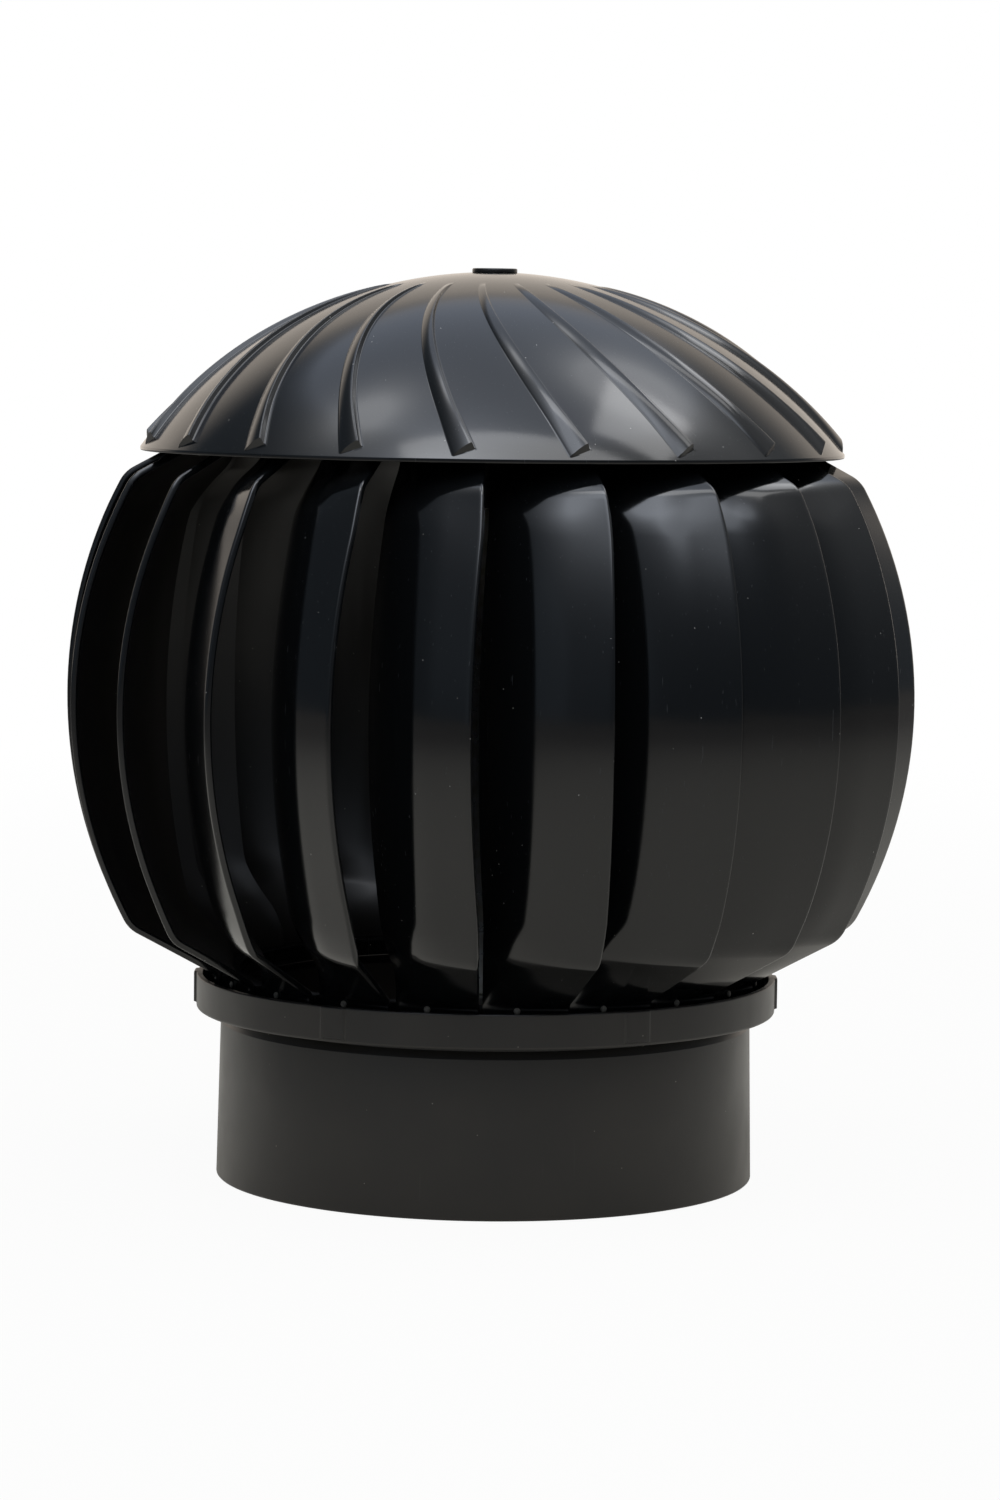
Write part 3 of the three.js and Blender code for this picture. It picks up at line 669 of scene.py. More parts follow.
def makeNut(sizes, node):
    low, high = boxOf(node)
    corner = sizes["flats"] / math.sqrt(3)
    flat = sizes["flats"] / 2
    face = flat * sizes["faceShare"]
    rise = sizes["chamferHeight"]
    bore, chamfer = sizes["bore"], sizes["boreChamfer"]
    columns = sizes["columns"]
    levels = [low.z + rise * 0.5, low.z + rise, high.z - rise, high.z - rise * 0.5]
    section = [(bore + chamfer, low.z), (face, low.z)] + [(corner, level) for level in levels]
    section += [(face, high.z), (bore + chamfer, high.z), (bore, high.z - chamfer), (bore, low.z + chamfer)]
    bm = bmesh.new()

    def shape(radius, height, column):
        angle = column * 360 / columns
        fromFlat = (angle + 30) % 60 - 30
        hexagon = flat / math.cos(math.radians(fromFlat))
        nearEnd = min(height - low.z, high.z - height) / rise
        cone = mix(face, corner, clamp(nearEnd))
        return polar(min(radius, hexagon, cone) if radius > face + 0.01 else radius, angle + 30, height)

    shapeColumns(spun(bm, section, columns), columns, shape)
    finishPiece(bm, node, "base", "zinc_plated_steel", sharpAngle=25)


def makeSleeve(node, bore, edge):
    # a plain turned ring, such as a washer or a spacer
    low, high = boxOf(node)
    bm = bmesh.new()
    spun(bm, softened([(bore, low.z, edge), (high.x, low.z, edge), (high.x, high.z, edge),
                       (bore, high.z, edge)]), 48)
    finishPiece(bm, node, "base", "zinc_plated_steel")


screw = {
    "headHeight": 2.4,
    "headRounding": 1.0,
    "headEdge": 0.2,
    "slotReach": 0.62,  # of the head's radius, the cross recess's arms
    "slotWidth": 0.24,
    "slotDepth": 1.3,
    "slotMargin": 1.15,
    "threadPitch": 0.8,
    "threadDepth": 0.3,
    "columns": 32,
}


def crossReach(angle, reach, width):
    # distance from the middle to the edge of a cross, in that direction
    across = math.radians(angle % 90 if angle % 90 < 45 else 90 - angle % 90)
    return min(reach / math.cos(across), width / max(math.sin(across), 1e-6))


def makeScrew(sizes, node, body, radius, pointsUp):
    low, high = boxOf(node)
    headRadius = (high.x - low.x) / 2
    head = sizes["headHeight"]
    length = high.z - low.z - head
    reach = headRadius * sizes["slotReach"]
    width = headRadius * sizes["slotWidth"]
    ridges = int((length - radius) / sizes["threadPitch"])
    thread = []
    for i in range(ridges):
        at = -length + radius + i * sizes["threadPitch"]
        thread += [(radius - sizes["threadDepth"], at), (radius, at + sizes["threadPitch"] / 2)]
    section = [(0, -length), (radius / 3, -length)] + thread + [(radius, -0.1), (radius, 0)]
    section += softened([(radius, 0, 0), (headRadius, 0, sizes["headEdge"]),
                         (headRadius, head, sizes["headRounding"]),
                         (reach * sizes["slotMargin"], head, 0)], 4)[1:]
    section += [(reach, head), (reach, head - sizes["slotDepth"]), (0, head - sizes["slotDepth"])]
    bm = bmesh.new()
    columns = sizes["columns"]

    def shape(ringRadius, height, column):
        angle = column * 360 / columns
        if abs(ringRadius - reach) < 0.01 and height > 0.01:
            ringRadius = crossReach(angle, reach, width)
        return polar(ringRadius, angle, height)

    shapeColumns(spun(bm, section, columns), columns, shape)
    flip = Matrix.Rotation(math.pi, 4, "X") if pointsUp else Matrix.Identity(4)
    seat = low.z + head if pointsUp else high.z - head
    middle = (low + high) / 2
    placeVerts(bm, bm.verts[:], flip, Matrix.Translation((middle.x, middle.y, seat)))
    finishPiece(bm, node, body, "zinc_plated_steel", sharpAngle=35)


# Ball bearings: two grooved races, and a pressed cage with seven balls.
bearing = {
    "bore": 4,
    "radius": 11,
    "raceWall": 1.8,
    "edge": 0.4,
    "groove": 0.6,
    "grooveEdge": 0.2,
    "grooveSteps": 6,
    "lipDrop": 0.1,
    "ballCircle": 7.5,
    "ballRadius": 2.0,
    "ballCount": 7,
    "cageWall": 2.2,
    "cageWidth": 3.4,
}


def makeRace(sizes, node, body, plain, grooved):
    low, high = boxOf(node)
    centre = (low.z + high.z) / 2
    side = 1 if plain < grooved else -1
    halfGroove = sizes["ballRadius"] - sizes["groove"] / 2
    section = softened([(plain, high.z, sizes["edge"]), (plain, low.z, sizes["edge"]),
                        (grooved, low.z, sizes["grooveEdge"])], 2)
    for i in range(sizes["grooveSteps"] + 1):
        share = 2 * i / sizes["grooveSteps"] - 1
        section.append(Vector((grooved - side * sizes["groove"] * math.sqrt(max(0, 1 - share ** 2)),
                               centre + halfGroove * share)))
    section.append(Vector((grooved, high.z - sizes["lipDrop"])))
    bm = bmesh.new()
    spun(bm, section, 64)
    finishPiece(bm, node, body, "bearing_steel")


def makeCage(sizes, node, body):
    low, high = boxOf(node)
    centre = (low.z + high.z) / 2
    bm = bmesh.new()
    inner = sizes["ballCircle"] - sizes["cageWall"] / 2
    outer = sizes["ballCircle"] + sizes["cageWall"] / 2
    bottom = centre - sizes["cageWidth"] / 2
    top = centre + sizes["cageWidth"] / 2
    spun(bm, softened([(inner, bottom, 0.3), (outer, bottom, 0.3), (outer, top, 0.3), (inner, top, 0.3)], 2),
         56)
    for i in range(sizes["ballCount"]):
        spot = polar(sizes["ballCircle"], i * 360 / sizes["ballCount"], centre)
        bmesh.ops.create_uvsphere(bm, u_segments=24, v_segments=14, radius=sizes["ballRadius"],
                                  matrix=Matrix.Translation(spot))
    finishPiece(bm, node, body, "bearing_steel")


makeAxle(axle)
makeNut(nut, "axle_nut")
makeNut(nut, "bearing_lock_nut")
makeSleeve("axle_washer", 4, 0.25)
makeSleeve("bearing_spacer", 4, 0.2)
for i in range(4):
    makeScrew(screw, f"spider_screw_{i + 1}", "base", 1.7, False)
    makeScrew(screw, f"dome_screw_{i + 1}", "rotor", 1.6, True)
for end in ("lower", "upper"):
    innerGrooved = bearing["bore"] + bearing["raceWall"]
    outerGrooved = bearing["radius"] - bearing["raceWall"]
    makeRace(bearing, f"{end}_bearing_inner_race", "base", bearing["bore"], innerGrooved)
    makeRace(bearing, f"{end}_bearing_outer_race", "rotor", bearing["radius"], outerGrooved)
    makeCage(bearing, f"{end}_bearing_ball_cage", f"{end}_balls")
print("axle, fasteners and bearings made")


# Blades: one bent and bowed plate, repeated twenty times. Its section from flangeLean to innerFlange, and
# how it runs out at the ends, are nearer to the real one than the solid's, and lie a few millimetres off it.
blade = {
    "count": 20,
    "thickness": 2,
    "edge": 0.65,
    "footRadius": 83.2,
    "footBend": 61.8,
    "span": 161,
    "barrelReach": 43.2,
    "barrelArc": 137,
    "cornerRadius": 10,
    "taperAngle": 28.5,
    "footDepth": 5.5,
    "footStep": 3.7,
    "footRounding": 1.6,
    "innerTaper": 26,  # height over which the section eases out at the foot and the head
    "innerFollow": 0.5,  # how far the inner side follows the free edge's bow
    "flangeLean": 30,
    "outerFlange": 12,
    "bendRadius": 40,
    "bendAngle": 40,
    "innerFlange": 4.5,
    "freeEdgeAngle": 15.6,
    "edgeBow": 1.1,
    "footGap": 1,
    "taperSteps": 8,
    "cornerSteps": 8,
    "barrelSteps": 34,
    "flangeSteps": 8,
    "bendSteps": 20,
    "innerSteps": 4,
    "edgeSteps": 4,
}
pitch = 360 / blade["count"]
headBend = blade["footBend"] + blade["span"]
bladeMiddle = blade["footBend"] + blade["span"] / 2
barrelRadius = blade["footRadius"] + blade["barrelReach"]
footRound = pitch - math.degrees(blade["footGap"] / blade["footRadius"])


def freeEdgeOutline(sizes):
    # (radius, height) points of the free edge, from the foot's end up to the head's end
    taper = math.radians(sizes["taperAngle"])
    along = Vector((math.cos(taper), math.sin(taper)))
    inward = Vector((-along.y, along.x))
    foot = Vector((sizes["footRadius"], sizes["footBend"]))
    barrelCentre = Vector((barrelRadius - sizes["barrelArc"], bladeMiddle))
    toCorner = foot + inward * sizes["cornerRadius"] - barrelCentre
    reach = toCorner.dot(along)
    apart = sizes["barrelArc"] - sizes["cornerRadius"]
    taperLength = -reach + math.sqrt(reach ** 2 - toCorner.length_squared + apart ** 2)
    cornerCentre = foot + along * taperLength + inward * sizes["cornerRadius"]
    barrelTurn = math.atan2(cornerCentre.y - barrelCentre.y, cornerCentre.x - barrelCentre.x)
    taperTurn = taper - math.pi / 2

    def onArc(centre, radius, turn):
        return centre + Vector((math.cos(turn), math.sin(turn))) * radius

    end = foot + along * taperLength
    rounding = sizes["footRounding"]
    bend = softened([(foot.x, foot.y - sizes["footDepth"], 0), (foot.x, foot.y, rounding),
                     (end.x, end.y, 0)], 4)[:-1]
    lower = [bend[0], mix(bend[0], bend[1], 0.5)] + bend[1:]
    last = bend[-1]
    lower += [mix(last, end, i / sizes["taperSteps"]) for i in range(1, sizes["taperSteps"])]
    lower += [onArc(cornerCentre, sizes["cornerRadius"],
                    mix(taperTurn, barrelTurn, i / sizes["cornerSteps"]))
              for i in range(sizes["cornerSteps"] + 1)]
    barrel = [onArc(barrelCentre, sizes["barrelArc"], barrelTurn * (1 - 2 * i / sizes["barrelSteps"]))
              for i in range(1, sizes["barrelSteps"])]
    upper = [Vector((point.x, 2 * bladeMiddle - point.y)) for point in reversed(lower)]
    return lower + barrel + upper


def bladeSection(sizes):
    # (degrees round, distance in) from the free edge inwards, at mid-height
    lean = math.radians(90 - sizes["flangeLean"])
    bend = math.radians(sizes["bendAngle"])
    steps = [(sizes["outerFlange"] / sizes["flangeSteps"], lean)] * sizes["flangeSteps"]
    arcStep = sizes["bendRadius"] * bend / sizes["bendSteps"]
    steps += [(arcStep, lean - bend * (i + 0.5) / sizes["bendSteps"]) for i in range(sizes["bendSteps"])]
    steps += [(sizes["innerFlange"] / sizes["innerSteps"], lean - bend)] * sizes["innerSteps"]
    point = Vector((0, 0))
    path = [point.copy()]
    for length, heading in steps:
        point = point + Vector((math.sin(heading), math.cos(heading))) * length
        path.append(point)
    return [(math.degrees(math.atan2(p.x, barrelRadius - p.y)),
             barrelRadius - math.hypot(p.x, barrelRadius - p.y)) for p in path]


def bladePoint(sizes, round_, drop, lastRound, lastDrop, edge):
    # The section is bent at mid-height and straight along the foot and the head.
    fromBend = max(0, min(edge.y - sizes["footBend"], headBend - edge.y))
    bent = clamp(fromBend / sizes["innerTaper"])
    bent *= bent * (3 - 2 * bent)
    barrelInner = barrelRadius - lastDrop - (barrelRadius - edge.x) * sizes["innerFollow"]
    innerRadius = mix(sizes["footRadius"] - sizes["footStep"], barrelInner, bent)
    span = mix(footRound, lastRound, bent)
    ends = (edge.y - bladeMiddle) / (bladeMiddle - sizes["footBend"] - sizes["innerTaper"])
    edgeAngle = sizes["freeEdgeAngle"] + sizes["edgeBow"] * min(1, ends ** 2)
    radius = edge.x - (edge.x - innerRadius) * mix(round_ / lastRound, drop / lastDrop, bent)
    return polar(radius, edgeAngle - span * round_ / lastRound, edge.y)


def plateRows(sizes, outline):
    # The plate's outline at each height: its outer side, a rounded free edge and its inner side.
    section = bladeSection(sizes)
    lastRound, lastDrop = section[-1]
    outer = [[bladePoint(sizes, *place, lastRound, lastDrop, edge) for place in section]
             for edge in outline]
    last = len(outline) - 1
    rows = []
    for i, row in enumerate(outer):
        before, after = outer[max(i - 1, 0)], outer[min(i + 1, last)]
        normals = []
        for j, point in enumerate(row):
            along = row[min(j + 1, len(row) - 1)] - row[max(j - 1, 0)]
            normals.append(along.cross(after[j] - before[j]).normalized())
        if normals[0].xy.dot(row[0].xy) < 0:
            normals = [-normal for normal in normals]
        rise = (after[0] - before[0]).normalized()
        out = (row[0] - row[1]).normalized()
        out = (out - rise * out.dot(rise)).normalized()
        radius = sizes["edge"]
        near = row[0] - (out + normals[0]) * radius
        far = near - normals[0] * (sizes["thickness"] - 2 * radius)
        turns = [math.pi / 2 * k / sizes["edgeSteps"] for k in range(sizes["edgeSteps"] + 1)]
        rounded = [near + (normals[0] * math.cos(turn) + out * math.sin(turn)) * radius for turn in turns]
        rounded += [far + (out * math.cos(turn) - normals[0] * math.sin(turn)) * radius for turn in turns]
        inner = [point - normal * sizes["thickness"] for point, normal in zip(row, normals)]
        rows.append(row[:0:-1] + rounded + inner[1:])
    return rows


def makeBlades(sizes):
    # A turned tube with a row of points for each height of the plate, which shapes it. The columns past
    # the free edge are the satin inner side.
    rows = plateRows(sizes, freeEdgeOutline(sizes))
    columns = len(rows[0])
    bm = bmesh.new()
    tube = spun(bm, [(1, level) for level in range(len(rows))], columns, isLoop=False)
    for face in bm.faces:
        middle = face.calc_center_median()
        column = math.degrees(math.atan2(middle.x, -middle.y)) % 360 * columns / 360
        face.material_index = int(columns // 2 + sizes["edgeSteps"] < column < columns - 1)
    shapeColumns(tube, columns, lambda radius, height, column: rows[round(height)][column])
    bmesh.ops.holes_fill(bm, edges=bm.edges[:], sides=0)
    bmesh.ops.recalc_face_normals(bm, faces=bm.faces[:])
    for i in range(sizes["count"]):
        turned = bm.copy()
        placeVerts(turned, turned.verts[:], turnedBy(i * pitch))
        finishPiece(turned, f"blade_{i + 1:02d}", "rotor", "gloss_black_plastic",
                    slotMaterials["satin_black_plastic"])
    bm.free()


# Rotor rings: a sloping tooth behind each blade's foot and head, and a round peg through each.
rotorRings = {
    "bore": 73.5,
    "toothOuter": 80.9,
    "toothInner": 77.2,
    "halfGap": 0.344,  # degrees
    "pegRadius": 1,
    "pegEdge": 0.45,
    "pegRoot": 1.8,  # how deep it starts in the ring
    "pegProud": 0.8,
    "pegDrop": 1.4,
    "pegPlace": 0.6,
    "pegGap": 0.3,
    "pegPaleEnd": 0.5,
    "toothSteps": (0, 0.02, 0.25, 0.5, 0.75, 0.98),
}


def toothAt(sizes, column):
    # (radius, angle) of the toothed outline at a column
    tooth, step = divmod(column, len(sizes["toothSteps"]) + 1)
    share = (sizes["toothSteps"] + (1,))[step]
    start = blade["freeEdgeAngle"] + blade["edgeBow"] + (tooth - 1) * pitch + sizes["halfGap"]
    return mix(sizes["toothInner"], sizes["toothOuter"], share), start + share * (pitch - sizes["halfGap"])


def toothedTurn(bm, sizes, section):
    columns = blade["count"] * (len(sizes["toothSteps"]) + 1)

    def shape(radius, height, column):
        toothRadius, angle = toothAt(sizes, column)
        if radius > sizes["toothInner"]:
            radius = toothRadius - (sizes["toothOuter"] - radius)
        return polar(radius, angle, height)

    shapeColumns(spun(bm, section, columns), columns, shape)


def addPegs(bm, sizes, height):
    start = sizes["toothInner"] - sizes["pegRoot"]
    seat = sizes["toothOuter"] - blade["footStep"] * sizes["pegPlace"]
    length = seat + sizes["pegGap"] + blade["thickness"] + sizes["pegProud"] - start
    angle = blade["freeEdgeAngle"] + blade["edgeBow"] - footRound * sizes["pegPlace"]
    radius = sizes["pegRadius"]
    section = softened([(0, 0, 0), (radius, 0, 0), (radius, length, sizes["pegEdge"]), (0, length, 0)], 4)
    for i in range(blade["count"]):
        peg = spun(bm, section, 16)
        for face in {face for vert in peg for face in vert.link_faces}:
            # the last stretch of each peg takes the pale grey
            if face.calc_center_median().z > length - sizes["pegPaleEnd"]:
                face.material_index = 1
        placeVerts(bm, peg, Matrix.Rotation(math.pi / 2, 4, "X"), Matrix.Translation((0, -start, height)),
                   turnedBy(angle + i * pitch))


def makeLowerRing(sizes):
    bottom = blade["footBend"] - blade["footDepth"]
    top = blade["footBend"]
    bm = bmesh.new()
    toothedTurn(bm, sizes, softened([(sizes["bore"], bottom, 0.3), (sizes["toothOuter"], bottom, 0.3),
                                     (sizes["toothOuter"], top, 0.3), (sizes["bore"], top, 0.3)]))
    addPegs(bm, sizes, top - sizes["pegDrop"])
    finishPiece(bm, "rotor_lower_ring", "rotor", "gloss_black_plastic", palePegEnds)


topPlate = {
    "hubRadius": 15.3,
    "hubBore": 11.3,
    "shoulder": 9.5,
    "plate": 2.5,
    "ribCount": 8,
    "ribHeight": 5,
    "ribWidth": 2.4,
    "firstRib": 67.5,  # degrees
}


def makeTopPlate(sizes, ring):
    low, high = boxOf("rotor_top_plate")
    plateTop = headBend + blade["footDepth"]
    plateBottom = plateTop - sizes["plate"]
    lowerSeat = boxOf("lower_bearing_outer_race")[1].z + seatGap
    upperSeat = boxOf("upper_bearing_outer_race")[0].z - seatGap
    bm = bmesh.new()
    toothedTurn(bm, ring, softened([
        (sizes["hubBore"], low.z, 0.3),
        (sizes["hubRadius"], low.z, 0.5),
        (sizes["hubRadius"], plateBottom, 1.2),
        (ring["bore"], plateBottom, 0.8),
        (ring["bore"], headBend, 0.3),
        (ring["toothOuter"], headBend, 0.3),
        (ring["toothOuter"], plateTop, 0.3),
        (sizes["hubRadius"], plateTop, 0.4),
        (sizes["hubRadius"], high.z, 0.3),
        (sizes["hubBore"], high.z, 0.3),
        (sizes["hubBore"], upperSeat, 0),
        (sizes["shoulder"], upperSeat, 0),
        (sizes["shoulder"], lowerSeat, 0),
        (sizes["hubBore"], lowerSeat, 0),
    ]))
    for i in range(sizes["ribCount"]):
        radialBlock(bm, sizes["hubRadius"] - 1, ring["bore"] + 1, sizes["ribWidth"],
                    plateBottom - sizes["ribHeight"], plateBottom + sizes["plate"] / 2,
                    sizes["firstRib"] + i * 360 / sizes["ribCount"], 0.4)
    addPegs(bm, ring, headBend + ring["pegDrop"])
    finishPiece(bm, "rotor_top_plate", "rotor", "gloss_black_plastic", palePegEnds)


makeBlades(blade)
makeLowerRing(rotorRings)
makeTopPlate(topPlate, rotorRings)
print("blades and rotor rings made")


# Dome: a spherical cap with twenty ribs that swirl out to the rim. Each rib has a gentle side, a crest
# and a steep side, and ends in a slanting face.
dome = {
    "radius": 128,
    "wall": 2,
    "rim": 104,
    "rimBand": 1.1,
    "ribCount": 20,
    "ribHeight": 2,
    "ribStart": 31,
    "ribSetback": 0.5,
    "ribAngle": 12.1,
    "ribSweep": 20.2,
    "ribCurve": 1.27,
    "endSlant": 1.75,
    "slantFade": 12,  # how far back from the tips the rings of points still slant
    "endSteepness": 2.63,
    "endFade": 8,
    "leastLift": 0.15,
    "flat": 7.2,
    "hole": 4,
    "bossCount": 4,
    "bossCircle": 60,
    "bossRadius": 4,
    "bossHole": 1.9,
    "bossHoleDepth": 13,
    "restColumns": 10,
}
# (millimetres round from the rib's foot, share of its height), near the rim
ribProfile = [(0, 0), (0.25, 0.1), (0.8, 0.26), (1.6, 0.47), (2.65, 0.7), (3.7, 0.87), (4.6, 0.965),
              (5.1, 1), (5.35, 0.985), (5.5, 0.9), (5.65, 0.7), (5.95, 0.25), (6.1, 0.08), (6.3, 0)]


def makeDome(sizes):
    rimHeight = boxOf("dome_cap")[0].z
    centre = rimHeight - math.sqrt(sizes["radius"] ** 2 - sizes["rim"] ** 2)
    ribEnd = sizes["rim"] - sizes["ribSetback"]
    ribWidth = ribProfile[-1][0]
    sectorWidth = math.tau * ribEnd / sizes["ribCount"]
    rest = [(mix(ribWidth + 0.5, sectorWidth - 0.3, i / (sizes["restColumns"] - 1)), 0)
            for i in range(sizes["restColumns"])]
    stations = ribProfile + rest
    fullFace = sizes["ribHeight"] / sizes["endSteepness"]  # how far back the end face reaches at the crest

    def outerHeight(radius):
        band = sizes["rimBand"] * (radius / sizes["rim"]) ** 6
        return centre + math.sqrt(sizes["radius"] ** 2 - max(radius, sizes["flat"]) ** 2) + band

    def shape(radius, height, column):
        sector, station = divmod(column, len(stations))
        turn, lift = stations[station]
        share = clamp((radius - sizes["ribStart"]) / (ribEnd - sizes["ribStart"]))
        swirl = sizes["ribSweep"] * (1 - share ** sizes["ribCurve"])
        angle = sizes["ribAngle"] + sector * 360 / sizes["ribCount"] + math.degrees(turn / ribEnd) - swirl
        onOuter = abs(height - outerHeight(radius)) < 0.05
        if not onOuter:
            return polar(radius, angle, height)
        fromEnd = ribEnd - radius
        if fromEnd < 0:
            fade = clamp((sizes["rim"] - 0.1 - radius) / (sizes["ribSetback"] - 0.1))
        else:
            fade = clamp(1 - fromEnd / sizes["slantFade"])
        if turn <= ribWidth:
            slant = sizes["endSlant"] * turn / ribWidth
        else:
            slant = sizes["endSlant"] * (1 - (turn - ribWidth) / (sectorWidth - ribWidth))
        steepened = max(lift, sizes["leastLift"])
        if 0 <= fromEnd <= fullFace:
            fromEnd *= steepened
        elif fromEnd > fullFace:
            fromEnd -= fullFace * (1 - steepened) * clamp(1 - (fromEnd - fullFace) / sizes["endFade"])
        placed = ribEnd - fromEnd - slant * fade
        rise = min(lift * sizes["ribHeight"] * math.sqrt(share), max(0, fromEnd) * sizes["endSteepness"])
        sphere = 1 + rise / sizes["radius"]
        return polar(placed * sphere, angle, centre + (outerHeight(placed) - centre) * sphere)

    rings = [sizes["hole"], 5.6, sizes["flat"] - 0.1, sizes["flat"] + 0.1]
    rings += [mix(sizes["flat"] + 2, sizes["ribStart"] - 2, i / 7) for i in range(8)]
    rings += [mix(sizes["ribStart"], ribEnd - 6, i / 30) for i in range(31)]
    rings += [ribEnd - back for back in (4.6, 3.4, 2.4, 1.7, 1.2, fullFace + 0.12)]
    rings += [ribEnd - fullFace * share for share in (1, 0.85, 0.6, 0.3, 0.1, 0)]
    rings += [mix(ribEnd, sizes["rim"], share) for share in (0.16, 0.4, 0.6, 0.78)]
    section = [Vector((radius, outerHeight(radius))) for radius in rings]
    rimIn = math.sqrt((sizes["radius"] - sizes["wall"]) ** 2 - (rimHeight - centre) ** 2)
    section += softened([
        (rings[-1], outerHeight(rings[-1]), 0),
        (sizes["rim"], outerHeight(sizes["rim"]), 0.35),
        (sizes["rim"], rimHeight, 0.3),
        (rimIn, rimHeight, 0.3),
        (rimIn - 1, rimHeight + 1.4, 0),
    ])[1:-1]
    inside = sizes["radius"] - sizes["wall"]
    insideRings = [mix(rimIn - 1, sizes["hole"], i / 20) for i in range(21)]
    section += [Vector((radius, centre + math.sqrt(inside ** 2 - radius ** 2))) for radius in insideRings]
    bm = bmesh.new()
    columns = sizes["ribCount"] * len(stations)
    shapeColumns(spun(bm, section, columns), columns, shape)
    bossTop = centre + math.sqrt((inside + 1) ** 2 - (sizes["bossCircle"] + sizes["bossRadius"]) ** 2)
    bossBottom = headBend + blade["footDepth"] + seatGap
    holeTop = bossBottom + sizes["bossHoleDepth"]
    for i in range(sizes["bossCount"]):
        boss = spun(bm, softened([(0, holeTop, 0), (sizes["bossHole"], holeTop, 0),
                                  (sizes["bossHole"], bossBottom, 0.2),
                                  (sizes["bossRadius"], bossBottom, 0.3),
                                  (sizes["bossRadius"], bossTop, 0), (0, bossTop, 0)], 2), 32)
        spot = polar(sizes["bossCircle"], (i + 0.5) * 360 / sizes["bossCount"], 0)
        placeVerts(bm, boss, Matrix.Translation(spot))
    finishPiece(bm, "dome_cap", "rotor", "gloss_black_plastic", sharpAngle=55)


# Disc: a plain button with a barbed stem that snaps into the dome's top.
disc = {"stem": 3.7, "barb": 0.7, "thickness": 1.3}


def makeDisc(sizes):
    low, high = boxOf("dome_disc")
    seat = high.z - sizes["thickness"]
    underWall = seat - dome["wall"] - seatGap
    bm = bmesh.new()
    spun(bm, softened([
        (0, low.z, 0),
        (sizes["stem"] - sizes["barb"], low.z, 0.3),
        (sizes["stem"] + sizes["barb"], underWall - sizes["barb"], 0.15),
        (sizes["stem"], underWall, 0),
        (sizes["stem"], seat, 0),
        (high.x, seat, 0.2),
        (high.x, high.z, 0.4),
        (0, high.z, 0),
    ]), 72)
    finishPiece(bm, "dome_disc", "rotor", "satin_black_plastic")


makeDome(dome)
makeDisc(disc)
print("dome and disc made")


# Studio: lamps in the ceiling, a pale floor, and a dark cloth tent that is open at the back, where the
# white backdrop shows. A lamp's sides are tangents from straight up, as seen from the object.
ceiling = {"height": 2.0, "objectMiddle": 0.16}
lamps = {
    "frontStrip": {"across": (-0.35, 0.60), "along": (-0.40, -0.20), "radiance": 3.2},
    "rightBox": {"across": (0.35, 0.70), "along": (-0.10, 0.30), "radiance": 3.5},
}


def makeLamp(name, lamp):
    left, right = (side * ceiling["height"] for side in lamp["across"])
    front, back = (side * ceiling["height"] for side in lamp["along"])
    data = bpy.data.lights.new(name, "AREA")
    data.shape = "RECTANGLE"
    data.size = right - left
    data.size_y = back - front
    data.energy = lamp["radiance"] * math.pi * data.size * data.size_y
    light = bpy.data.objects.new(name, data)
    bpy.context.scene.collection.objects.link(light)
    light.location = ((left + right) / 2, (front + back) / 2, ceiling["objectMiddle"] + ceiling["height"])
    light.visible_camera = False


# White to the camera and in reflections. Spill is what it throws on matt surfaces.
world = {"white": "#ffffff", "warm": "#fff3e6", "spill": 0.8}


def makeWorld(look):
    sky = bpy.data.worlds.new("whiteBackdrop")
    bpy.context.scene.world = sky
    sky.use_nodes = True
    tree = sky.node_tree
    tree.nodes.clear()
    path = addNode(tree, "LightPath", {})
    direct = largest(tree, path["Is Camera Ray"], path["Is Transmission Ray"])
    strength = largest(tree, direct, path["Is Glossy Ray"], look["spill"])
    tone = layered(tree, look["warm"], (direct, look["white"]))
    white = addNode(tree, "Background", {"Color": tone, "Strength": strength})
    addNode(tree, "OutputWorld", {"Surface": white[0]})


# The tent's cloth glows where light comes through it. A glow's bearing counts in degrees from the front
# towards the right and its height from level. It is even out to its core and then fades, in degrees.
tent = {
    "radius": 3.5,
    "open": {"Y": (0.50, 0.78), "Z": (0.80, 0.60)},  # where the cloth ends at the back and comes in above
    "dark": {"radiance": 0.13, "colour": "#d8ebff"},
    "glows": {  # bearing, height, core, fade, radiance, colour
        "frontBox": (7, 48, 10, 4, 2.3, "#ecf3ff"),
        "frontRight": (32, 53, 5, 2.5, 2.0, "#ecf3ff"),
        "frontLeft": (-24, 61, 8.5, 9.5, 4.6, "#ecf3ff"),
        "left": (-99, 68, 4, 4, 2.7, "#ffffff"),
        "right": (92, 52, 18, 14, 0.5, "#ffffff"),
        "farRight": (124, 63, 9, 3.2, 1.8, "#ffffff"),
        "lowFront": (-46, 10, 15, 6, 0.14, "#d8ebff"),
        "overhead": (175, 73, 29, 2.5, 0.95, "#dfeaff"),
    },
}


def glowLight(tree, direction, bearing, height, core, fade, radiance, colour):
    rise = math.radians(height)
    towards = polar(math.cos(rise), bearing, math.sin(rise))
    light = addNode(tree, "VectorMath", {0: direction, 1: towards}, operation="DOT_PRODUCT")["Value"]
    steps = [("ARCCOSINE", {}), ("MULTIPLY_ADD", {1: -1 / math.radians(fade), 2: core / fade}),
             ("MINIMUM", {1: 0.0}), ("EXPONENT", {}), ("MULTIPLY", {1: radiance})]
    for operation, numbers in steps:
        light = addNode(tree, "Math", {0: light, **numbers}, operation=operation)[0]
    return addNode(tree, "Emission", {"Color": linear(colour), "Strength": light})[0]


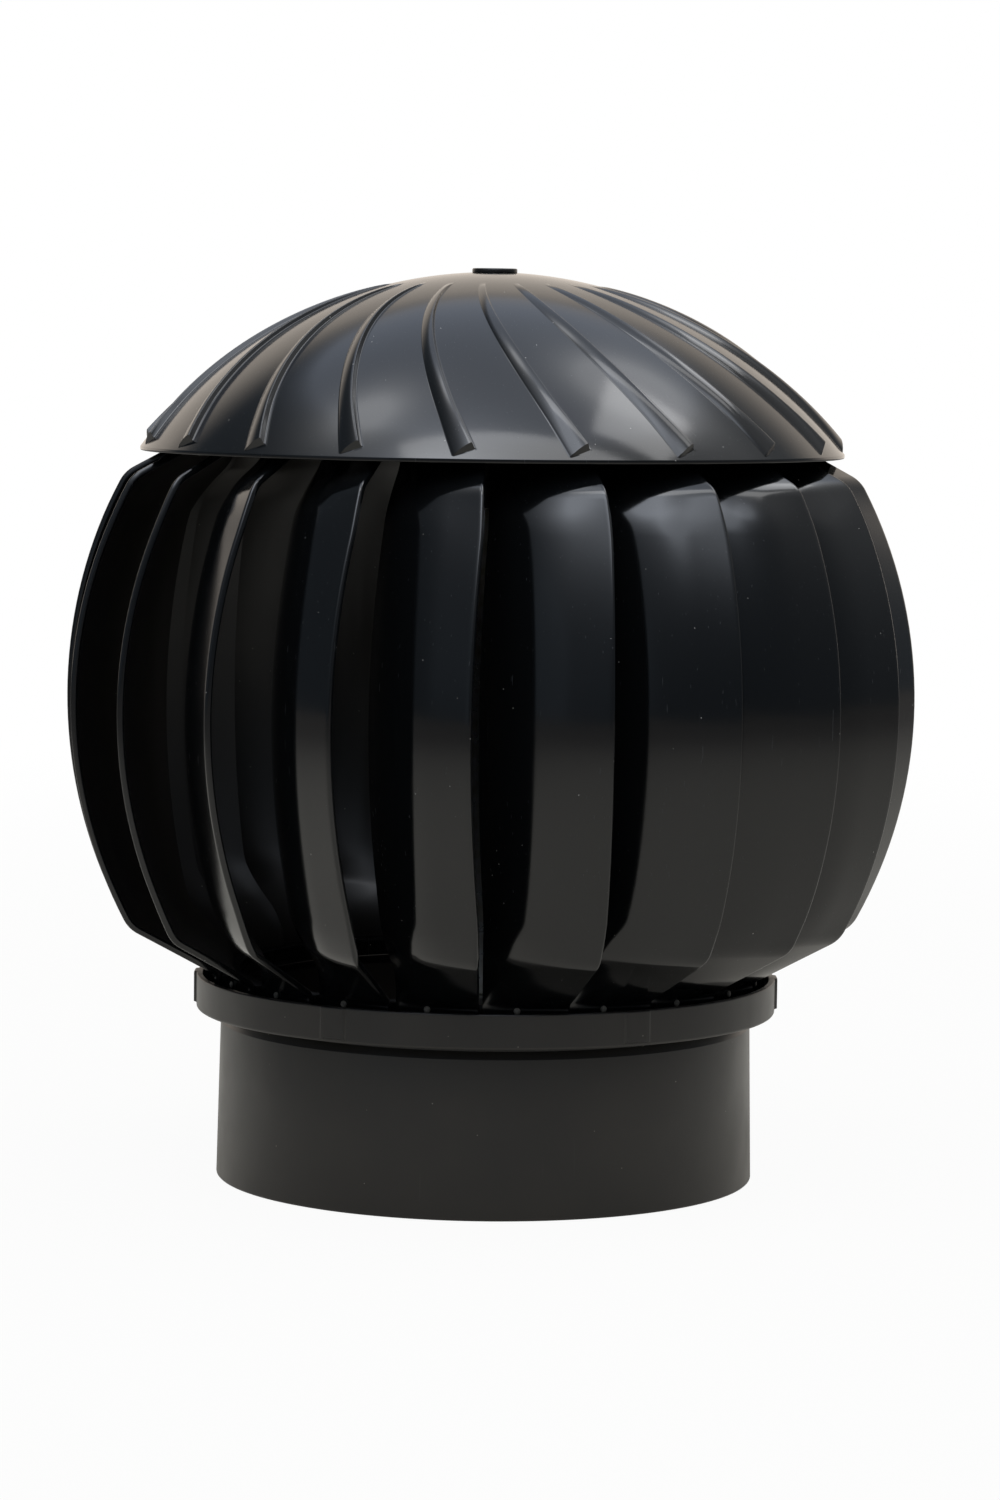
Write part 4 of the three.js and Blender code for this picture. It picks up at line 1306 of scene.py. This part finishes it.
def makeTent(look):
    bm = bmesh.new()
    bmesh.ops.create_uvsphere(bm, u_segments=64, v_segments=32, radius=look["radius"])
    material, tree, coords = startMaterial("darkTentCloth")
    direction = addNode(tree, "VectorMath", {0: coords}, operation="NORMALIZE")["Vector"]
    dark = look["dark"]
    cloth = addNode(tree, "Emission", {"Color": linear(dark["colour"]), "Strength": dark["radiance"]})[0]
    for glow in look["glows"].values():
        cloth = addNode(tree, "AddShader", {0: cloth, 1: glowLight(tree, direction, *glow)})[0]
    parts = addNode(tree, "SeparateXYZ", {"Vector": direction})
    opening = 1.0
    for axis, (start, end) in look["open"].items():
        share = addNode(tree, "MapRange", {"Value": parts[axis], "From Min": start, "From Max": end},
                        interpolation_type="SMOOTHSTEP")["Result"]
        opening = addNode(tree, "Math", {0: opening, 1: share}, operation="MULTIPLY")[0]
    bare = addNode(tree, "BsdfTransparent", {})
    surface = addNode(tree, "MixShader", {0: opening, 1: cloth, 2: bare[0]})
    addNode(tree, "OutputMaterial", {"Surface": surface[0]})
    drape = addObject("tent", bm, material)
    drape.visible_camera = False


# The pale floor is lit by the lamps and, as a backlit table, white to the camera. Its white share runs
# from near the object to far off. It is lower in reflections, as the real floor's is.
floor = {
    "radius": 3.4,
    "drop": 0.0003,
    "lit": (0.15, 1.5),
    "pale": "#b2afa5",
    "far": "#48464a",
    "white": (0.95, 1.0),
    "whiteInGloss": (0.38, 0.20),
    "whiteTone": "#fffaf0",
}


def makeFloor(look):
    bm = bmesh.new()
    bmesh.ops.create_circle(bm, cap_ends=True, segments=96, radius=look["radius"],
                            matrix=Matrix.Translation((0, 0, -look["drop"])))
    material, tree, coords = startMaterial("paleFloor")
    distance = addNode(tree, "VectorMath", {0: coords}, operation="LENGTH")["Value"]
    far = addNode(tree, "MapRange", {"Value": distance, "From Min": look["lit"][0],
                                     "From Max": look["lit"][1]}, interpolation_type="SMOOTHSTEP")["Result"]
    cloth = addNode(tree, "BsdfDiffuse", {"Color": layered(tree, look["pale"], (far, look["far"]))})
    path = addNode(tree, "LightPath", {})
    shine = layered(tree, "#ffffff", (path["Is Glossy Ray"], look["whiteTone"]))
    white = addNode(tree, "Emission", {"Color": shine, "Strength": 1.0})
    direct = largest(tree, path["Is Camera Ray"], path["Is Transmission Ray"])
    shares = []
    for ray, (near, away) in ((direct, look["white"]), (path["Is Glossy Ray"], look["whiteInGloss"])):
        share = addNode(tree, "MapRange", {"Value": far, "To Min": near, "To Max": away})["Result"]
        shares.append(addNode(tree, "Math", {0: ray, 1: share}, operation="MULTIPLY")[0])
    lit = addNode(tree, "MixShader", {0: largest(tree, *shares), 1: cloth[0], 2: white[0]})
    # from below, the camera looks through it
    underside = addNode(tree, "NewGeometry", {})["Backfacing"]
    fromBelow = addNode(tree, "Math", {0: underside, 1: path["Is Camera Ray"]}, operation="MULTIPLY")
    bare = addNode(tree, "BsdfTransparent", {})
    surface = addNode(tree, "MixShader", {0: fromBelow[0], 1: lit[0], 2: bare[0]})
    addNode(tree, "OutputMaterial", {"Surface": surface[0]})
    addObject("floor", bm, material)


for lampName, lampSizes in lamps.items():
    makeLamp(lampName, lampSizes)
makeWorld(world)
makeTent(tent)
makeFloor(floor)
bpy.context.scene.view_settings.view_transform = "Standard"
print("studio made")
